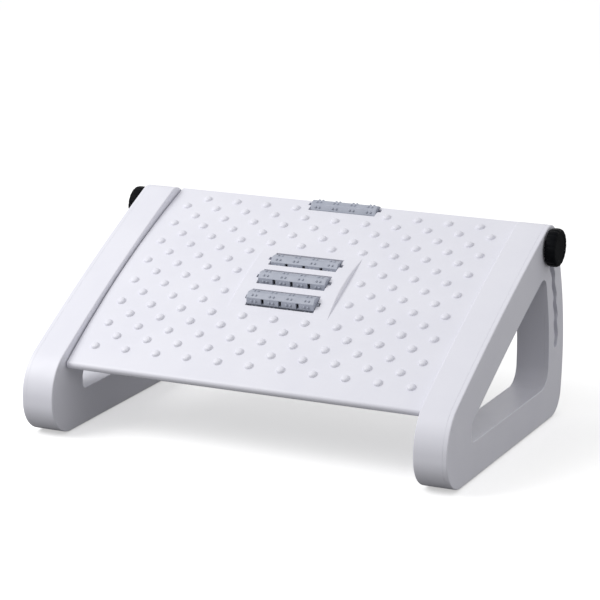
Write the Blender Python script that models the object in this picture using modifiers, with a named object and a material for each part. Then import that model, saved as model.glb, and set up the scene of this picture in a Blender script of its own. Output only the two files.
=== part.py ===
"""Adjustable footrest with massage rollers.

A domed foot panel hangs between two hollow side frames. It turns on a steel pin
in each frame near the front, and two threaded studs near its rear edge run in
wavy slots of the frames' rear legs, where black knobs clamp them at a height.

Metres, +Z up, +X to the viewer's right, the low front edge towards -Y. The
origin is on the floor, below the middle of the side frames.
"""

import math

import bmesh
import bpy
from mathutils import Matrix, Vector

# General fits
FIT_GAP = 0.0003
OVERRUN = 0.004
MERGE_DISTANCE = 0.00001

# Side frames: hollow inner shell closed by an outer cover
CLEAR_WIDTH = 0.390
FRAME_THICKNESS = 0.035
COVER_DEPTH = 0.005
WALL = 0.003
EDGE_FILLET = 0.003
WINDOW_FILLET = 0.0015
FLOOR_GAP = 0.0012
TOP_OVER_PIVOT = 0.0133
TOP_OVER_STUD = 0.0206
TOP_BOW = 0.0033
LEG_REAR_DEPTH = 0.0227
LEG_FRONT_DEPTH = 0.0191
WINDOW_FRONT_INSET = 0.0605
FRONT_TOP_RADIUS = 0.032
FRONT_TOE_RADIUS = 0.033
REAR_TOP_RADIUS = 0.020
HEEL_RADIUS = 0.027
WINDOW_TOE_RADIUS = 0.006
WINDOW_FRONT_RADIUS = 0.013
WINDOW_TOP_RADIUS = 0.011
WINDOW_HEEL_RADIUS = 0.020
FRAME_RIB = 0.0018
LIP_THICKNESS = 0.0015
LIP_DEPTH = 0.003
PIN_BOSS_RADIUS = 0.006
PIN_BOSS_LENGTH = 0.014

# Height adjustment: studs on an arc about the pivot
PIVOT_INSET = 0.0341
PIVOT_HEIGHT = 0.074
SILL_HEIGHT_SHARE = 0.5135
BEAM_DEPTH_SHARE = 0.5608
SLOT_ARC_RADIUS = 0.2525
HEIGHT_STEPS = 5
TOP_ANGLE = math.radians(25.96)
STEP_ANGLE = math.radians(4.97)
SLOT_WIDTH = 0.0095
SLOT_WAVE = 0.0012
SLOT_WALL = 0.0022

# Foot panel, drawn in its own frame with the pivot at the origin
SIDE_GAP = 0.0015
PANEL_OVERHANG = 0.0046
PANEL_REAR_REACH = 0.0237
PANEL_RISE = 0.0040
PANEL_BOW = 0.0087
STUD_DROP = 0.0045
DECK_THICKNESS = 0.003
NOSE_THICKNESS = 0.0066
NOSE_WALL = 0.012
SKIRT_DEPTH = 0.0185
SIDE_WALL = 0.0025
PANEL_RIB = 0.002
PANEL_EDGE_FILLET = 0.001
KNUCKLE_RADIUS = 0.0046
KNUCKLE_LENGTH = 0.015
INSERT_BOSS_RADIUS = 0.0075
INSERT_BOSS_LENGTH = 0.018

# Massage domes
DOME_RADIUS = 0.0045
DOME_HEIGHT = 0.0018
DOME_SINK = 0.0004
DOME_ROWS = 16
DOME_COLUMNS = 5
DOME_SIDE_MARGIN = 0.0210
DOME_FRONT_MARGIN = 0.0248
DOME_REAR_MARGIN = 0.0167

# Raised hump that carries three of the rollers
HUMP_HALF_LENGTH = 0.0460
HUMP_HALF_WIDTH = 0.0560
HUMP_HEIGHT = 0.0040
HUMP_FLARE_SHARE = 0.7
HUMP_ROOT = 0.0015

# Rollers and their axles
ROLLER_RADIUS = 0.0086
ROLLER_HALF_LENGTH = 0.0372
ROLLER_CHAMFER = 0.0008
ROLLER_SPACING = 0.0300
FRONT_ROLLER_SINK = 0.0016
MIDDLE_ROLLER_SINK = 0.0033
BACK_ROLLER_SINK = 0.0053
REAR_ROLLER_SINK = 0.0046
REAR_ROLLER_MARGIN = 0.0057
REAR_ROLLER_TURN = math.radians(21.5)
ROLLER_SEGMENTS = 4
ROLLER_SIDES = 8
NOTCH_WIDTH = 0.0033
NOTCH_HEIGHT = 0.0052
NOTCH_DEPTH = 0.0036
WELL_CLEARANCE = 0.0024
ROLLER_END_PLAY = 0.0006
AXLE_RADIUS = 0.0015
AXLE_END_GAP = 0.0012
BEARING_WALL = 0.005
BEARING_SKIN = 0.0015
SNAP_THROAT = 0.0026

# Clamp knobs, studs, washers, inserts and pivot pins
KNOB_RADIUS = 0.0191
KNOB_LENGTH = 0.0105
KNOB_FLUTES = 18
FLUTE_DEPTH = 0.0009
KNOB_RIM_FILLET = 0.0022
KNOB_BACK_FILLET = 0.0008
KNOB_SOCKET_DEPTH = 0.0062
STUD_RADIUS = 0.003
STUD_INSERT_REACH = 0.011
STUD_TIP_CHAMFER = 0.0006
WASHER_RADIUS = 0.0085
WASHER_THICKNESS = 0.0012
INSERT_RADIUS = 0.004
INSERT_LENGTH = 0.012
PIN_RADIUS = 0.0025
PIN_PANEL_REACH = 0.0105
PIN_FRAME_REACH = 0.0115
PIN_CHAMFER = 0.0004

# Anti-slip pads
PAD_LENGTH = 0.044
PAD_WIDTH = 0.020
PAD_CORNER = 0.004
PAD_RECESS = 0.0015
FRONT_PAD_SETBACK = 0.0595
REAR_PAD_SETBACK = 0.0575

# Shares and counts along the parts
TOP_POINT_SHARES = (0.0, 0.25, 0.5, 0.75, 1.0)
REAR_ARC_HIGH_SHARES = (1.0, 0.75, 0.5, 0.25)
REAR_ARC_LOW_SHARES = (0.0, 0.5, 1.0)
WINDOW_TOP_SHARES = (0.16, 0.4, 0.64, 0.88)
BEAM_RIB_SHARES = (0.1, 0.26, 0.42, 0.58, 0.74, 0.9)
SILL_RIB_SHARES = (-0.24, -0.08, 0.08, 0.24)
LEG_RIB_SHARES = (0.25, 0.55)
WAVE_PEAK_SHARE = 0.69
WAVE_SAMPLE_SHARES = (0.0, 0.14, 0.28, 0.42, 0.55, 0.69, 0.8, 0.9)
FRONT_ROW_SHARE = 0.56
REAR_ROW_SHARES = (0.5, 0.86)
COLUMN_RIB_SHARE = 0.604
HUMP_CENTRE_SHARE = 0.51282
RIDGE_SHARES = (0.08, 0.5)
VALLEY_SHARES = (0.66, 0.92)
DECK_SEGMENTS = 12
ARC_STEP = math.radians(13)
SLOT_END_SEGMENTS = 5

# Derived places
FRAME_DEPTH = PIVOT_INSET + SLOT_ARC_RADIUS + LEG_REAR_DEPTH
FRONT_Y = -FRAME_DEPTH / 2
PIVOT = Vector((FRONT_Y + PIVOT_INSET, PIVOT_HEIGHT))
SILL_HEIGHT = PIVOT_HEIGHT * SILL_HEIGHT_SHARE
BEAM_DEPTH = PIVOT_HEIGHT * BEAM_DEPTH_SHARE
LOW_ANGLE = TOP_ANGLE - HEIGHT_STEPS * STEP_ANGLE
PANEL_LENGTH = PANEL_OVERHANG + SLOT_ARC_RADIUS + PANEL_REAR_REACH
PANEL_ANGLE = TOP_ANGLE + math.asin(STUD_DROP / SLOT_ARC_RADIUS)
INNER_FACE = CLEAR_WIDTH / 2
OUTER_FACE = INNER_FACE + FRAME_THICKNESS
PARTING = OUTER_FACE - COVER_DEPTH
PANEL_HALF_WIDTH = INNER_FACE - SIDE_GAP
STUD_PLACE = Vector((math.sqrt(SLOT_ARC_RADIUS ** 2 - STUD_DROP ** 2), -STUD_DROP))
PANEL_FRONT = -PANEL_OVERHANG
PANEL_REAR = PANEL_FRONT + PANEL_LENGTH
DOME_COLUMN_PITCH = (PANEL_HALF_WIDTH - DOME_SIDE_MARGIN) / DOME_COLUMNS
HUMP_CENTRE = PANEL_LENGTH * HUMP_CENTRE_SHARE
BEARING_INNER = ROLLER_HALF_LENGTH + ROLLER_END_PLAY
BEARING_OUTER = BEARING_INNER + BEARING_WALL
SEAT_END = BEARING_OUTER - BEARING_SKIN
AXLE_HALF_LENGTH = SEAT_END - AXLE_END_GAP
NOTCH_ANGLE = 1.5 * 2 * math.pi / ROLLER_SIDES
WASHER_SEAT = OUTER_FACE + FIT_GAP
KNOB_BACK = WASHER_SEAT + WASHER_THICKNESS + FIT_GAP
ALONG_TOP = Vector((math.cos(TOP_ANGLE), math.sin(TOP_ANGLE)))
ABOVE_TOP = Vector((-math.sin(TOP_ANGLE), math.cos(TOP_ANGLE)))


# Scene and materials

def clear_scene():
    """Remove every object so that the script can be run again."""
    for item in list(bpy.data.objects):
        bpy.data.objects.remove(item, do_unlink=True)


def make_collection(name, hidden=False):
    group = bpy.data.collections.new(name)
    bpy.context.scene.collection.children.link(group)
    group.hide_render = hidden
    return group


def make_material(name, colour, roughness, metallic=0.0):
    material = bpy.data.materials.new(name)
    material.use_nodes = True
    shader = material.node_tree.nodes["Principled BSDF"]
    shader.inputs["Base Color"].default_value = (*colour, 1.0)
    shader.inputs["Roughness"].default_value = roughness
    shader.inputs["Metallic"].default_value = metallic
    material.diffuse_color = (*colour, 1.0)
    return material


clear_scene()
PARTS = make_collection("footrest")
CUTTERS = make_collection("cutters", hidden=True)
WHITE_PLASTIC = make_material("white_plastic", (0.80, 0.80, 0.84), 0.42)
GREY_PLASTIC = make_material("grey_plastic", (0.36, 0.39, 0.44), 0.5)
BLACK_PLASTIC = make_material("black_plastic", (0.015, 0.016, 0.019), 0.3)
STEEL = make_material("steel", (0.58, 0.59, 0.61), 0.3, 1.0)
BRASS = make_material("brass", (0.72, 0.55, 0.28), 0.35, 1.0)
RUBBER = make_material("rubber", (0.035, 0.035, 0.038), 0.85)


# Mesh helpers

def add_object(name, mesh, group, material=None, parent=None):
    item = bpy.data.objects.new(name, mesh)
    group.objects.link(item)
    item.parent = parent
    if material:
        mesh.materials.clear()
        mesh.materials.append(material)
    if group is CUTTERS:
        item.hide_render = True
        item.display_type = "WIRE"
    return item


def add_axis(name, place, parent=None, tilt=0.0):
    """An empty that stands on a joint's axis and carries what turns about it."""
    axis = bpy.data.objects.new(name, None)
    PARTS.objects.link(axis)
    axis.parent = parent
    axis.location = place
    axis.rotation_euler = (tilt, 0.0, 0.0)
    axis.empty_display_size = PIN_BOSS_LENGTH
    return axis


def flat_mesh(name, loops, thickness):
    """A filled outline in the curve's XY plane, thickened along Z."""
    curve = bpy.data.curves.new(name, "CURVE")
    curve.dimensions = "2D"
    curve.fill_mode = "BOTH"
    curve.extrude = thickness / 2
    for loop in loops:
        spline = curve.splines.new("POLY")
        spline.points.add(len(loop) - 1)
        for point, place in zip(spline.points, loop):
            point.co = (place[0], place[1], 0.0, 1.0)
        spline.use_cyclic_u = True
    outline = bpy.data.objects.new(name, curve)
    bpy.context.scene.collection.objects.link(outline)
    bpy.context.view_layer.update()
    evaluated = outline.evaluated_get(bpy.context.evaluated_depsgraph_get())
    mesh = bpy.data.meshes.new_from_object(evaluated)
    bpy.data.objects.remove(outline)
    mesh.name = name
    shape = bmesh.new()
    shape.from_mesh(mesh)
    bmesh.ops.remove_doubles(shape, verts=shape.verts, dist=MERGE_DISTANCE)
    bmesh.ops.dissolve_limit(shape, angle_limit=math.radians(0.5),
                             verts=shape.verts, edges=shape.edges)
    bmesh.ops.recalc_face_normals(shape, faces=shape.faces)
    shape.to_mesh(mesh)
    shape.free()
    return mesh


def side_mesh(name, loops, start, end):
    """An outline drawn in (y, z), thickened along X between two places."""
    mesh = flat_mesh(name, loops, abs(end - start))
    turn = Matrix.Rotation(math.pi / 2, 4, "Z") @ Matrix.Rotation(math.pi / 2, 4, "X")
    mesh.transform(Matrix.Translation((start / 2 + end / 2, 0.0, 0.0)) @ turn)
    return mesh


def round_rim(mesh, axis, level, loop, width, segments):
    """Round the edge between a flat cap, at a level of one axis, and an outline."""
    others = [index for index in range(3) if index != axis]
    shape = bmesh.new()
    shape.from_mesh(mesh)

    def on_rim(vertex):
        place = Vector((vertex.co[others[0]], vertex.co[others[1]]))
        near = any((place - point).length < MERGE_DISTANCE for point in loop)
        return near and abs(vertex.co[axis] - level) < MERGE_DISTANCE

    rim = [edge for edge in shape.edges
           if all(on_rim(vertex) for vertex in edge.verts)
           and any(abs(face.normal[axis]) < 0.5 for face in edge.link_faces)]
    bmesh.ops.bevel(shape, geom=rim, offset=width, offset_type="OFFSET", segments=segments,
                    profile=0.5, affect="EDGES", clamp_overlap=True)
    shape.to_mesh(mesh)
    shape.free()


def joined_mesh(name, add_shapes):
    """One mesh filled by a function that adds closed shapes to it."""
    mesh = bpy.data.meshes.new(name)
    shape = bmesh.new()
    add_shapes(shape)
    bmesh.ops.recalc_face_normals(shape, faces=shape.faces)
    shape.to_mesh(mesh)
    shape.free()
    return mesh


def add_box(shape, low, high, turn=None):
    """A box between two corners, turned about its centre where a turn is given."""
    centre = (Vector(low) + Vector(high)) / 2
    size = Vector(high) - Vector(low)
    place = Matrix.Translation(centre) @ (turn or Matrix.Identity(4))
    bmesh.ops.create_cube(shape, size=1.0, matrix=place @ Matrix.Diagonal((*size, 1.0)))


def add_rod(shape, radius, start, end, across, sides=20):
    """A round rod along X from start to end, at a place in (y, z)."""
    place = Matrix.Translation((start / 2 + end / 2, across[0], across[1]))
    bmesh.ops.create_cone(shape, cap_ends=True, segments=sides, radius1=radius, radius2=radius,
                          depth=abs(end - start), matrix=place @ Matrix.Rotation(math.pi / 2, 4, "Y"))


def combine(target, cutter, operation):
    """Cut, join or trim with another object by a Boolean modifier."""
    step = target.modifiers.new(cutter.name, "BOOLEAN")
    step.operation = operation
    step.object = cutter
    step.solver = "EXACT"


def turned_mesh(name, profile, steps):
    """A profile of (radius, height) turned about Z; a closed one leaves a bore."""
    mesh = bpy.data.meshes.new(name)
    closed = all(radius > 0 for radius, height in profile)
    count = len(profile)
    edges = [(index, (index + 1) % count) for index in range(count if closed else count - 1)]
    mesh.from_pydata([(radius, 0.0, height) for radius, height in profile], edges, [])
    blank = bpy.data.objects.new(name, mesh)
    bpy.context.scene.collection.objects.link(blank)
    screw = blank.modifiers.new("turn", "SCREW")
    screw.axis = "Z"
    screw.steps = steps
    screw.render_steps = steps
    screw.use_merge_vertices = True
    screw.merge_threshold = MERGE_DISTANCE
    bpy.context.view_layer.update()
    evaluated = blank.evaluated_get(bpy.context.evaluated_depsgraph_get())
    solid = bpy.data.meshes.new_from_object(evaluated)
    bpy.data.objects.remove(blank)
    shape = bmesh.new()
    shape.from_mesh(solid)
    bmesh.ops.remove_doubles(shape, verts=shape.verts, dist=MERGE_DISTANCE)
    bmesh.ops.recalc_face_normals(shape, faces=shape.faces)
    shape.to_mesh(solid)
    shape.free()
    solid.name = name
    return solid


def shade(item, angle=40):
    item.data.shade_smooth()
    item.data.set_sharp_from_angle(angle=math.radians(angle))


# Outline helpers

def meet(point, direction, other, other_direction):
    """Where two lines cross."""
    cross = direction.cross(other_direction)
    reach = (other - point).cross(other_direction) / cross
    return point + direction * reach


def rounded_loop(corners):
    """Points of a loop whose corners are rounded by their own radii."""
    points = []
    count = len(corners)
    for index, (corner, radius) in enumerate(corners):
        before = (corners[index - 1][0] - corner).normalized()
        after = (corners[(index + 1) % count][0] - corner).normalized()
        if radius == 0:
            points.append(corner)
            continue
        opening = before.angle(after)
        centre = corner + (before + after).normalized() * (radius / math.sin(opening / 2))
        start = corner + before * (radius / math.tan(opening / 2)) - centre
        sweep = math.copysign(math.pi - opening, before.cross(after))
        steps = max(3, round(abs(sweep) / ARC_STEP))
        for step in range(steps + 1):
            turn = Matrix.Rotation(-sweep * step / steps, 2)
            points.append(centre + turn @ start)
    return points


def offset_loop(loop, distance):
    """The loop moved sideways; a positive distance moves a clockwise loop inwards."""
    moved = []
    count = len(loop)
    for index, point in enumerate(loop):
        before = (point - loop[index - 1]).normalized()
        after = (loop[(index + 1) % count] - point).normalized()
        normal_before = Vector((before.y, -before.x))
        normal_after = Vector((after.y, -after.x))
        mitre = (normal_before + normal_after).normalized()
        moved.append(point + mitre * (distance / mitre.dot(normal_after)))
    return moved


def pivot_arc(radius, angle):
    return PIVOT + Vector((math.cos(angle), math.sin(angle))) * radius


# Side frame outlines in (y, z), clockwise seen from +X

def top_curve(share):
    """A point of the bowed top edge, from above the pivot to above the stud."""
    start = PIVOT + ABOVE_TOP * TOP_OVER_PIVOT
    end = PIVOT + ALONG_TOP * SLOT_ARC_RADIUS + ABOVE_TOP * TOP_OVER_STUD
    bow = 4 * TOP_BOW * share * (1 - share)
    return start.lerp(end, share) + ABOVE_TOP * bow


def frame_outline():
    top = [top_curve(share) for share in TOP_POINT_SHARES]
    rear_radius = SLOT_ARC_RADIUS + LEG_REAR_DEPTH
    heel_rise = HEEL_RADIUS + FLOOR_GAP - PIVOT_HEIGHT
    heel_angle = math.asin(heel_rise / rear_radius)
    arc_start = TOP_ANGLE - REAR_TOP_RADIUS / rear_radius
    rear = [pivot_arc(rear_radius, arc_start * share) for share in REAR_ARC_HIGH_SHARES]
    rear += [pivot_arc(rear_radius, heel_angle * share) for share in REAR_ARC_LOW_SHARES]
    down = Vector((0.0, -1.0))
    back = Vector((1.0, 0.0))
    front_top = meet(top[0], top[1] - top[0], Vector((FRONT_Y, 0.0)), down)
    rear_top = meet(top[-1], top[-1] - top[-2], rear[0], rear[0] - rear[1])
    heel = meet(rear[-1], rear[-1] - rear[-2], Vector((0.0, FLOOR_GAP)), back)
    toe = Vector((FRONT_Y, FLOOR_GAP))
    corners = [(toe, FRONT_TOE_RADIUS), (front_top, FRONT_TOP_RADIUS)]
    corners += [(point, 0) for point in top[1:-1]]
    corners += [(rear_top, REAR_TOP_RADIUS)]
    corners += [(point, 0) for point in rear[:-1]]
    corners += [(heel, HEEL_RADIUS)]
    return rounded_loop(corners)


def window_outline():
    top = [top_curve(share) - ABOVE_TOP * BEAM_DEPTH for share in WINDOW_TOP_SHARES]
    arc_radius = SLOT_ARC_RADIUS - LEG_FRONT_DEPTH
    low_angle = math.asin((SILL_HEIGHT + WINDOW_HEEL_RADIUS - PIVOT_HEIGHT) / arc_radius)
    high_angle = (TOP_ANGLE + LOW_ANGLE) / 2
    rear_high = pivot_arc(arc_radius, high_angle)
    rear_mid = pivot_arc(arc_radius, (high_angle + low_angle) / 2)
    rear_low = pivot_arc(arc_radius, low_angle)
    front_y = FRONT_Y + WINDOW_FRONT_INSET
    up = Vector((0.0, 1.0))
    back = Vector((1.0, 0.0))
    front_top = meet(top[0], top[1] - top[0], Vector((front_y, 0.0)), up)
    rear_top = meet(top[-1], top[-1] - top[-2], rear_high, rear_high - rear_mid)
    heel = meet(rear_low, rear_low - rear_mid, Vector((0.0, SILL_HEIGHT)), back)
    toe = Vector((front_y, SILL_HEIGHT))
    corners = [(toe, WINDOW_TOE_RADIUS), (front_top, WINDOW_FRONT_RADIUS)]
    corners += [(point, 0) for point in top[1:-1]]
    corners += [(rear_top, WINDOW_TOP_RADIUS), (rear_mid, 0), (heel, WINDOW_HEEL_RADIUS)]
    return rounded_loop(corners)


def slot_wave(steps_down):
    """Sideways shift of the slot's centre line, like a soft ratchet tooth."""
    phase = steps_down % 1.0
    if phase < WAVE_PEAK_SHARE:
        return -SLOT_WAVE * math.cos(math.pi * phase / WAVE_PEAK_SHARE)
    return SLOT_WAVE * math.cos(math.pi * (phase - WAVE_PEAK_SHARE) / (1 - WAVE_PEAK_SHARE))


def slot_outline(margin=0.0, wavy=True):
    """The slot that a stud runs in, wider all round by a margin."""
    half_width = SLOT_WIDTH / 2 + margin
    places = [step + share for step in range(HEIGHT_STEPS) for share in WAVE_SAMPLE_SHARES]
    places.append(float(HEIGHT_STEPS))
    if not wavy:
        places = [float(step) for step in range(HEIGHT_STEPS + 1)]
    spine = []
    for steps_down in places:
        shift = slot_wave(steps_down) if wavy else 0.0
        spine.append((SLOT_ARC_RADIUS + shift, TOP_ANGLE - steps_down * STEP_ANGLE))
    rear = [pivot_arc(radius + half_width, angle) for radius, angle in spine]
    front = [pivot_arc(radius - half_width, angle) for radius, angle in reversed(spine)]
    loop = list(rear)
    for end, heading in ((spine[-1], -1), (spine[0], 1)):
        centre = pivot_arc(*end)
        for step in range(1, SLOT_END_SEGMENTS):
            turn = heading * math.pi * step / SLOT_END_SEGMENTS
            start = end[1] if heading < 0 else end[1] + math.pi
            angle = start - abs(turn)
            loop.append(centre + Vector((math.cos(angle), math.sin(angle))) * half_width)
        if heading < 0:
            loop += front
    return loop


OUTER_LOOP = frame_outline()
WINDOW_LOOP = window_outline()


# Side frames

def add_frame_ribs(shape, side):
    """Cross ribs of the beam, the sill and the rear leg, below the cover's lip."""
    low = side * (INNER_FACE + WALL / 2)
    high = side * (PARTING - LIP_DEPTH - 2 * FIT_GAP)
    span = sorted((low, high))
    half = FRAME_RIB / 2
    for share in BEAM_RIB_SHARES:
        centre = top_curve(share) - ABOVE_TOP * (BEAM_DEPTH / 2)
        reach = BEAM_DEPTH / 2 - WALL / 2
        add_box(shape, (span[0], centre.x - half, centre.y - reach),
                (span[1], centre.x + half, centre.y + reach), Matrix.Rotation(TOP_ANGLE, 4, "X"))
    for share in SILL_RIB_SHARES:
        place = FRAME_DEPTH * share
        add_box(shape, (span[0], place - half, FLOOR_GAP + WALL / 2),
                (span[1], place + half, SILL_HEIGHT - WALL / 2))
    for share in LEG_RIB_SHARES:
        angle = LOW_ANGLE + (TOP_ANGLE - LOW_ANGLE) * share
        front = SLOT_ARC_RADIUS - LEG_FRONT_DEPTH + WALL / 2
        rear = SLOT_ARC_RADIUS + LEG_REAR_DEPTH - WALL / 2
        centre = pivot_arc((front + rear) / 2, angle)
        reach = (rear - front) / 2
        add_box(shape, (span[0], centre.x - reach, centre.y - half),
                (span[1], centre.x + reach, centre.y + half), Matrix.Rotation(angle, 4, "X"))


def pad_centres():
    return (FRONT_Y + FRONT_PAD_SETBACK, -FRONT_Y - REAR_PAD_SETBACK)


def pad_loop(centre_x, centre_y, growth):
    half_x = PAD_WIDTH / 2 + growth
    half_y = PAD_LENGTH / 2 + growth
    signs = ((-1, -1), (-1, 1), (1, 1), (1, -1))
    corners = [(Vector((centre_x + half_x * u, centre_y + half_y * v)), PAD_CORNER + growth)
               for u, v in signs]
    return rounded_loop(corners)


def hollow_pocket(name, side, start, end, keep_out):
    """The space inside a frame half, less the walls and bosses that stand in it."""
    loops = [offset_loop(OUTER_LOOP, WALL), offset_loop(WINDOW_LOOP, -WALL)]
    mesh = side_mesh(name, loops, side * start, side * end)
    pocket = add_object(name, mesh, CUTTERS)
    for index, obstacle in enumerate(keep_out):
        cutter = add_object(f"{name}_keep_{index}", obstacle, CUTTERS)
        combine(pocket, cutter, "DIFFERENCE")
    return pocket


def slot_cutter(side, name, start, end):
    mesh = side_mesh(f"{name}_slot", [slot_outline()], side * start, side * end)
    return add_object(f"{name}_slot", mesh, CUTTERS)


def build_inner_shell(side, tag):
    """The deep half of a side frame, open towards its cover."""
    name = f"frame_shell_{tag}"
    mesh = side_mesh(name, [OUTER_LOOP, WINDOW_LOOP], side * INNER_FACE, side * PARTING)
    round_rim(mesh, 0, side * INNER_FACE, OUTER_LOOP, EDGE_FILLET, 2)
    round_rim(mesh, 0, side * INNER_FACE, WINDOW_LOOP, WINDOW_FILLET, 1)
    shell = add_object(name, mesh, PARTS, WHITE_PLASTIC)
    floor = INNER_FACE + WALL
    ribs = joined_mesh(f"{name}_ribs", lambda shape: add_frame_ribs(shape, side))
    slot_walls = side_mesh(f"{name}_slot_walls", [slot_outline(SLOT_WALL + SLOT_WAVE, wavy=False)],
                           side * (floor - OVERRUN), side * (PARTING + OVERRUN))
    boss = joined_mesh(f"{name}_boss", lambda shape: add_rod(
        shape, PIN_BOSS_RADIUS, side * (floor - OVERRUN), side * (floor + PIN_BOSS_LENGTH), PIVOT))
    pocket = hollow_pocket(f"{name}_pocket", side, floor, PARTING + OVERRUN,
                           [ribs, slot_walls, boss])
    combine(shell, pocket, "DIFFERENCE")
    slot = slot_cutter(side, name, INNER_FACE - OVERRUN, PARTING + OVERRUN)
    combine(shell, slot, "DIFFERENCE")
    hole = joined_mesh(f"{name}_pin_hole", lambda shape: add_rod(
        shape, PIN_RADIUS + FIT_GAP, side * (INNER_FACE - OVERRUN),
        side * (INNER_FACE + PIN_FRAME_REACH + FIT_GAP), PIVOT))
    combine(shell, add_object(f"{name}_pin_hole", hole, CUTTERS), "DIFFERENCE")
    centre_x = side * (INNER_FACE + PARTING) / 2
    for index, centre_y in enumerate(pad_centres()):
        loop = pad_loop(centre_x, centre_y, FIT_GAP)
        recess = flat_mesh(f"{name}_pad_recess_{index}", [loop], PAD_RECESS + OVERRUN)
        lift = FLOOR_GAP + PAD_RECESS - (PAD_RECESS + OVERRUN) / 2
        recess.transform(Matrix.Translation((0.0, 0.0, lift)))
        combine(shell, add_object(f"{name}_pad_recess_{index}", recess, CUTTERS), "DIFFERENCE")
    shade(shell)
    return shell


def build_cover(side, tag):
    """The outer half of a side frame, with a locating lip inside the shell's wall."""
    name = f"frame_cover_{tag}"
    start = PARTING + FIT_GAP
    mesh = side_mesh(name, [OUTER_LOOP, WINDOW_LOOP], side * start, side * OUTER_FACE)
    round_rim(mesh, 0, side * OUTER_FACE, OUTER_LOOP, EDGE_FILLET, 2)
    round_rim(mesh, 0, side * OUTER_FACE, WINDOW_LOOP, WINDOW_FILLET, 1)
    cover = add_object(name, mesh, PARTS, WHITE_PLASTIC)
    plate = OUTER_FACE - WALL
    collar = side_mesh(f"{name}_collar", [slot_outline(SLOT_WALL + SLOT_WAVE, wavy=False)],
                       side * (start - OVERRUN), side * (plate + OVERRUN))
    pocket = hollow_pocket(f"{name}_pocket", side, start - OVERRUN, plate, [collar])
    combine(cover, pocket, "DIFFERENCE")
    lip_outer = offset_loop(OUTER_LOOP, WALL + FIT_GAP)
    lip_inner = offset_loop(OUTER_LOOP, WALL + FIT_GAP + LIP_THICKNESS)
    lip = side_mesh(f"{name}_lip", [lip_outer, lip_inner], side * (PARTING - LIP_DEPTH),
                    side * (plate + WALL / 4))
    combine(cover, add_object(f"{name}_lip", lip, CUTTERS), "UNION")
    slot = slot_cutter(side, name, PARTING - OVERRUN, OUTER_FACE + OVERRUN)
    combine(cover, slot, "DIFFERENCE")
    shade(cover)
    return cover


def build_pads(side, tag):
    """Rubber pads that the frame stands on, set into its underside."""
    centre_x = side * (INNER_FACE + PARTING) / 2
    height = FLOOR_GAP + PAD_RECESS - FIT_GAP
    for place, centre_y in zip(("front", "rear"), pad_centres()):
        mesh = flat_mesh(f"pad_{place}_{tag}", [pad_loop(0.0, 0.0, 0.0)], height)
        pad = add_object(f"pad_{place}_{tag}", mesh, PARTS, RUBBER)
        pad.location = (centre_x, centre_y, height / 2)
        shade(pad)


def build_pivot_pin(side, tag):
    """The steel pin that the panel turns on, held in the frame's boss."""
    low = -PIN_PANEL_REACH - SIDE_GAP
    high = PIN_FRAME_REACH
    profile = [(0.0, high), (PIN_RADIUS - PIN_CHAMFER, high), (PIN_RADIUS, high - PIN_CHAMFER),
               (PIN_RADIUS, low + PIN_CHAMFER), (PIN_RADIUS - PIN_CHAMFER, low), (0.0, low)]
    pin = add_object(f"pivot_pin_{tag}", turned_mesh(f"pivot_pin_{tag}", profile, 16), PARTS, STEEL)
    pin.location = (side * INNER_FACE, PIVOT.x, PIVOT.y)
    pin.rotation_euler = (0.0, side * math.pi / 2, 0.0)
    shade(pin)


# Foot panel

def deck_top(along):
    """Height of the bowed deck above the pivot, at a place along the panel."""
    middle = (PANEL_FRONT + PANEL_REAR) / 2
    share = (along - middle) / (PANEL_LENGTH / 2)
    return PANEL_RISE + PANEL_BOW * (1 - share * share)


def deck_slope(along):
    middle = (PANEL_FRONT + PANEL_REAR) / 2
    return math.atan(-2 * PANEL_BOW * (along - middle) / (PANEL_LENGTH / 2) ** 2)


def hump_rise(along):
    share = (along - PANEL_FRONT - HUMP_CENTRE) / HUMP_HALF_LENGTH
    return HUMP_HEIGHT * max(0.0, 1 - share * share)


def tray_top_points():
    """The deck's top edge between the rounded nose and the rear lip."""
    start = PANEL_FRONT + NOSE_THICKNESS / 2
    end = PANEL_REAR
    places = [start + (end - start) * step / DECK_SEGMENTS for step in range(DECK_SEGMENTS + 1)]
    return [Vector((place, deck_top(place))) for place in places]


def tray_outline():
    """Side view of the panel: rolled nose, deck, rear lip and skirt."""
    top = tray_top_points()
    nose_radius = NOSE_THICKNESS / 2
    nose = Vector((PANEL_FRONT + nose_radius, top[0].y - nose_radius))
    nose_points = []
    for step in range(1, 7):
        angle = math.pi / 2 + math.pi * step / 7
        nose_points.append(nose + Vector((math.cos(angle), math.sin(angle))) * nose_radius)
    under_nose = Vector((nose.x, nose.y - nose_radius))
    skirt_front = PANEL_FRONT + NOSE_WALL + SKIRT_DEPTH / 2
    skirt_rear = PANEL_REAR - SKIRT_DEPTH / 3
    skirt = []
    for step in range(DECK_SEGMENTS // 2 + 1):
        place = skirt_rear + (skirt_front - skirt_rear) * 2 * step / DECK_SEGMENTS
        skirt.append(Vector((place, deck_top(place) - SKIRT_DEPTH)))
    rear_low = Vector((PANEL_REAR, deck_top(PANEL_REAR) - SKIRT_DEPTH * 2 / 3))
    loop = top + [rear_low] + skirt + [under_nose] + list(reversed(nose_points))
    return loop


def column_spans():
    """The clear spans across the panel between its lengthwise ribs."""
    half_rib = PANEL_RIB / 2
    middle = PANEL_HALF_WIDTH * COLUMN_RIB_SHARE
    edge = PANEL_HALF_WIDTH - SIDE_WALL
    right = [(BEARING_OUTER, middle - half_rib), (middle + half_rib, edge)]
    left = [(-high, -low) for low, high in reversed(right)]
    return left + [(-BEARING_INNER, BEARING_INNER)] + right


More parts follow.
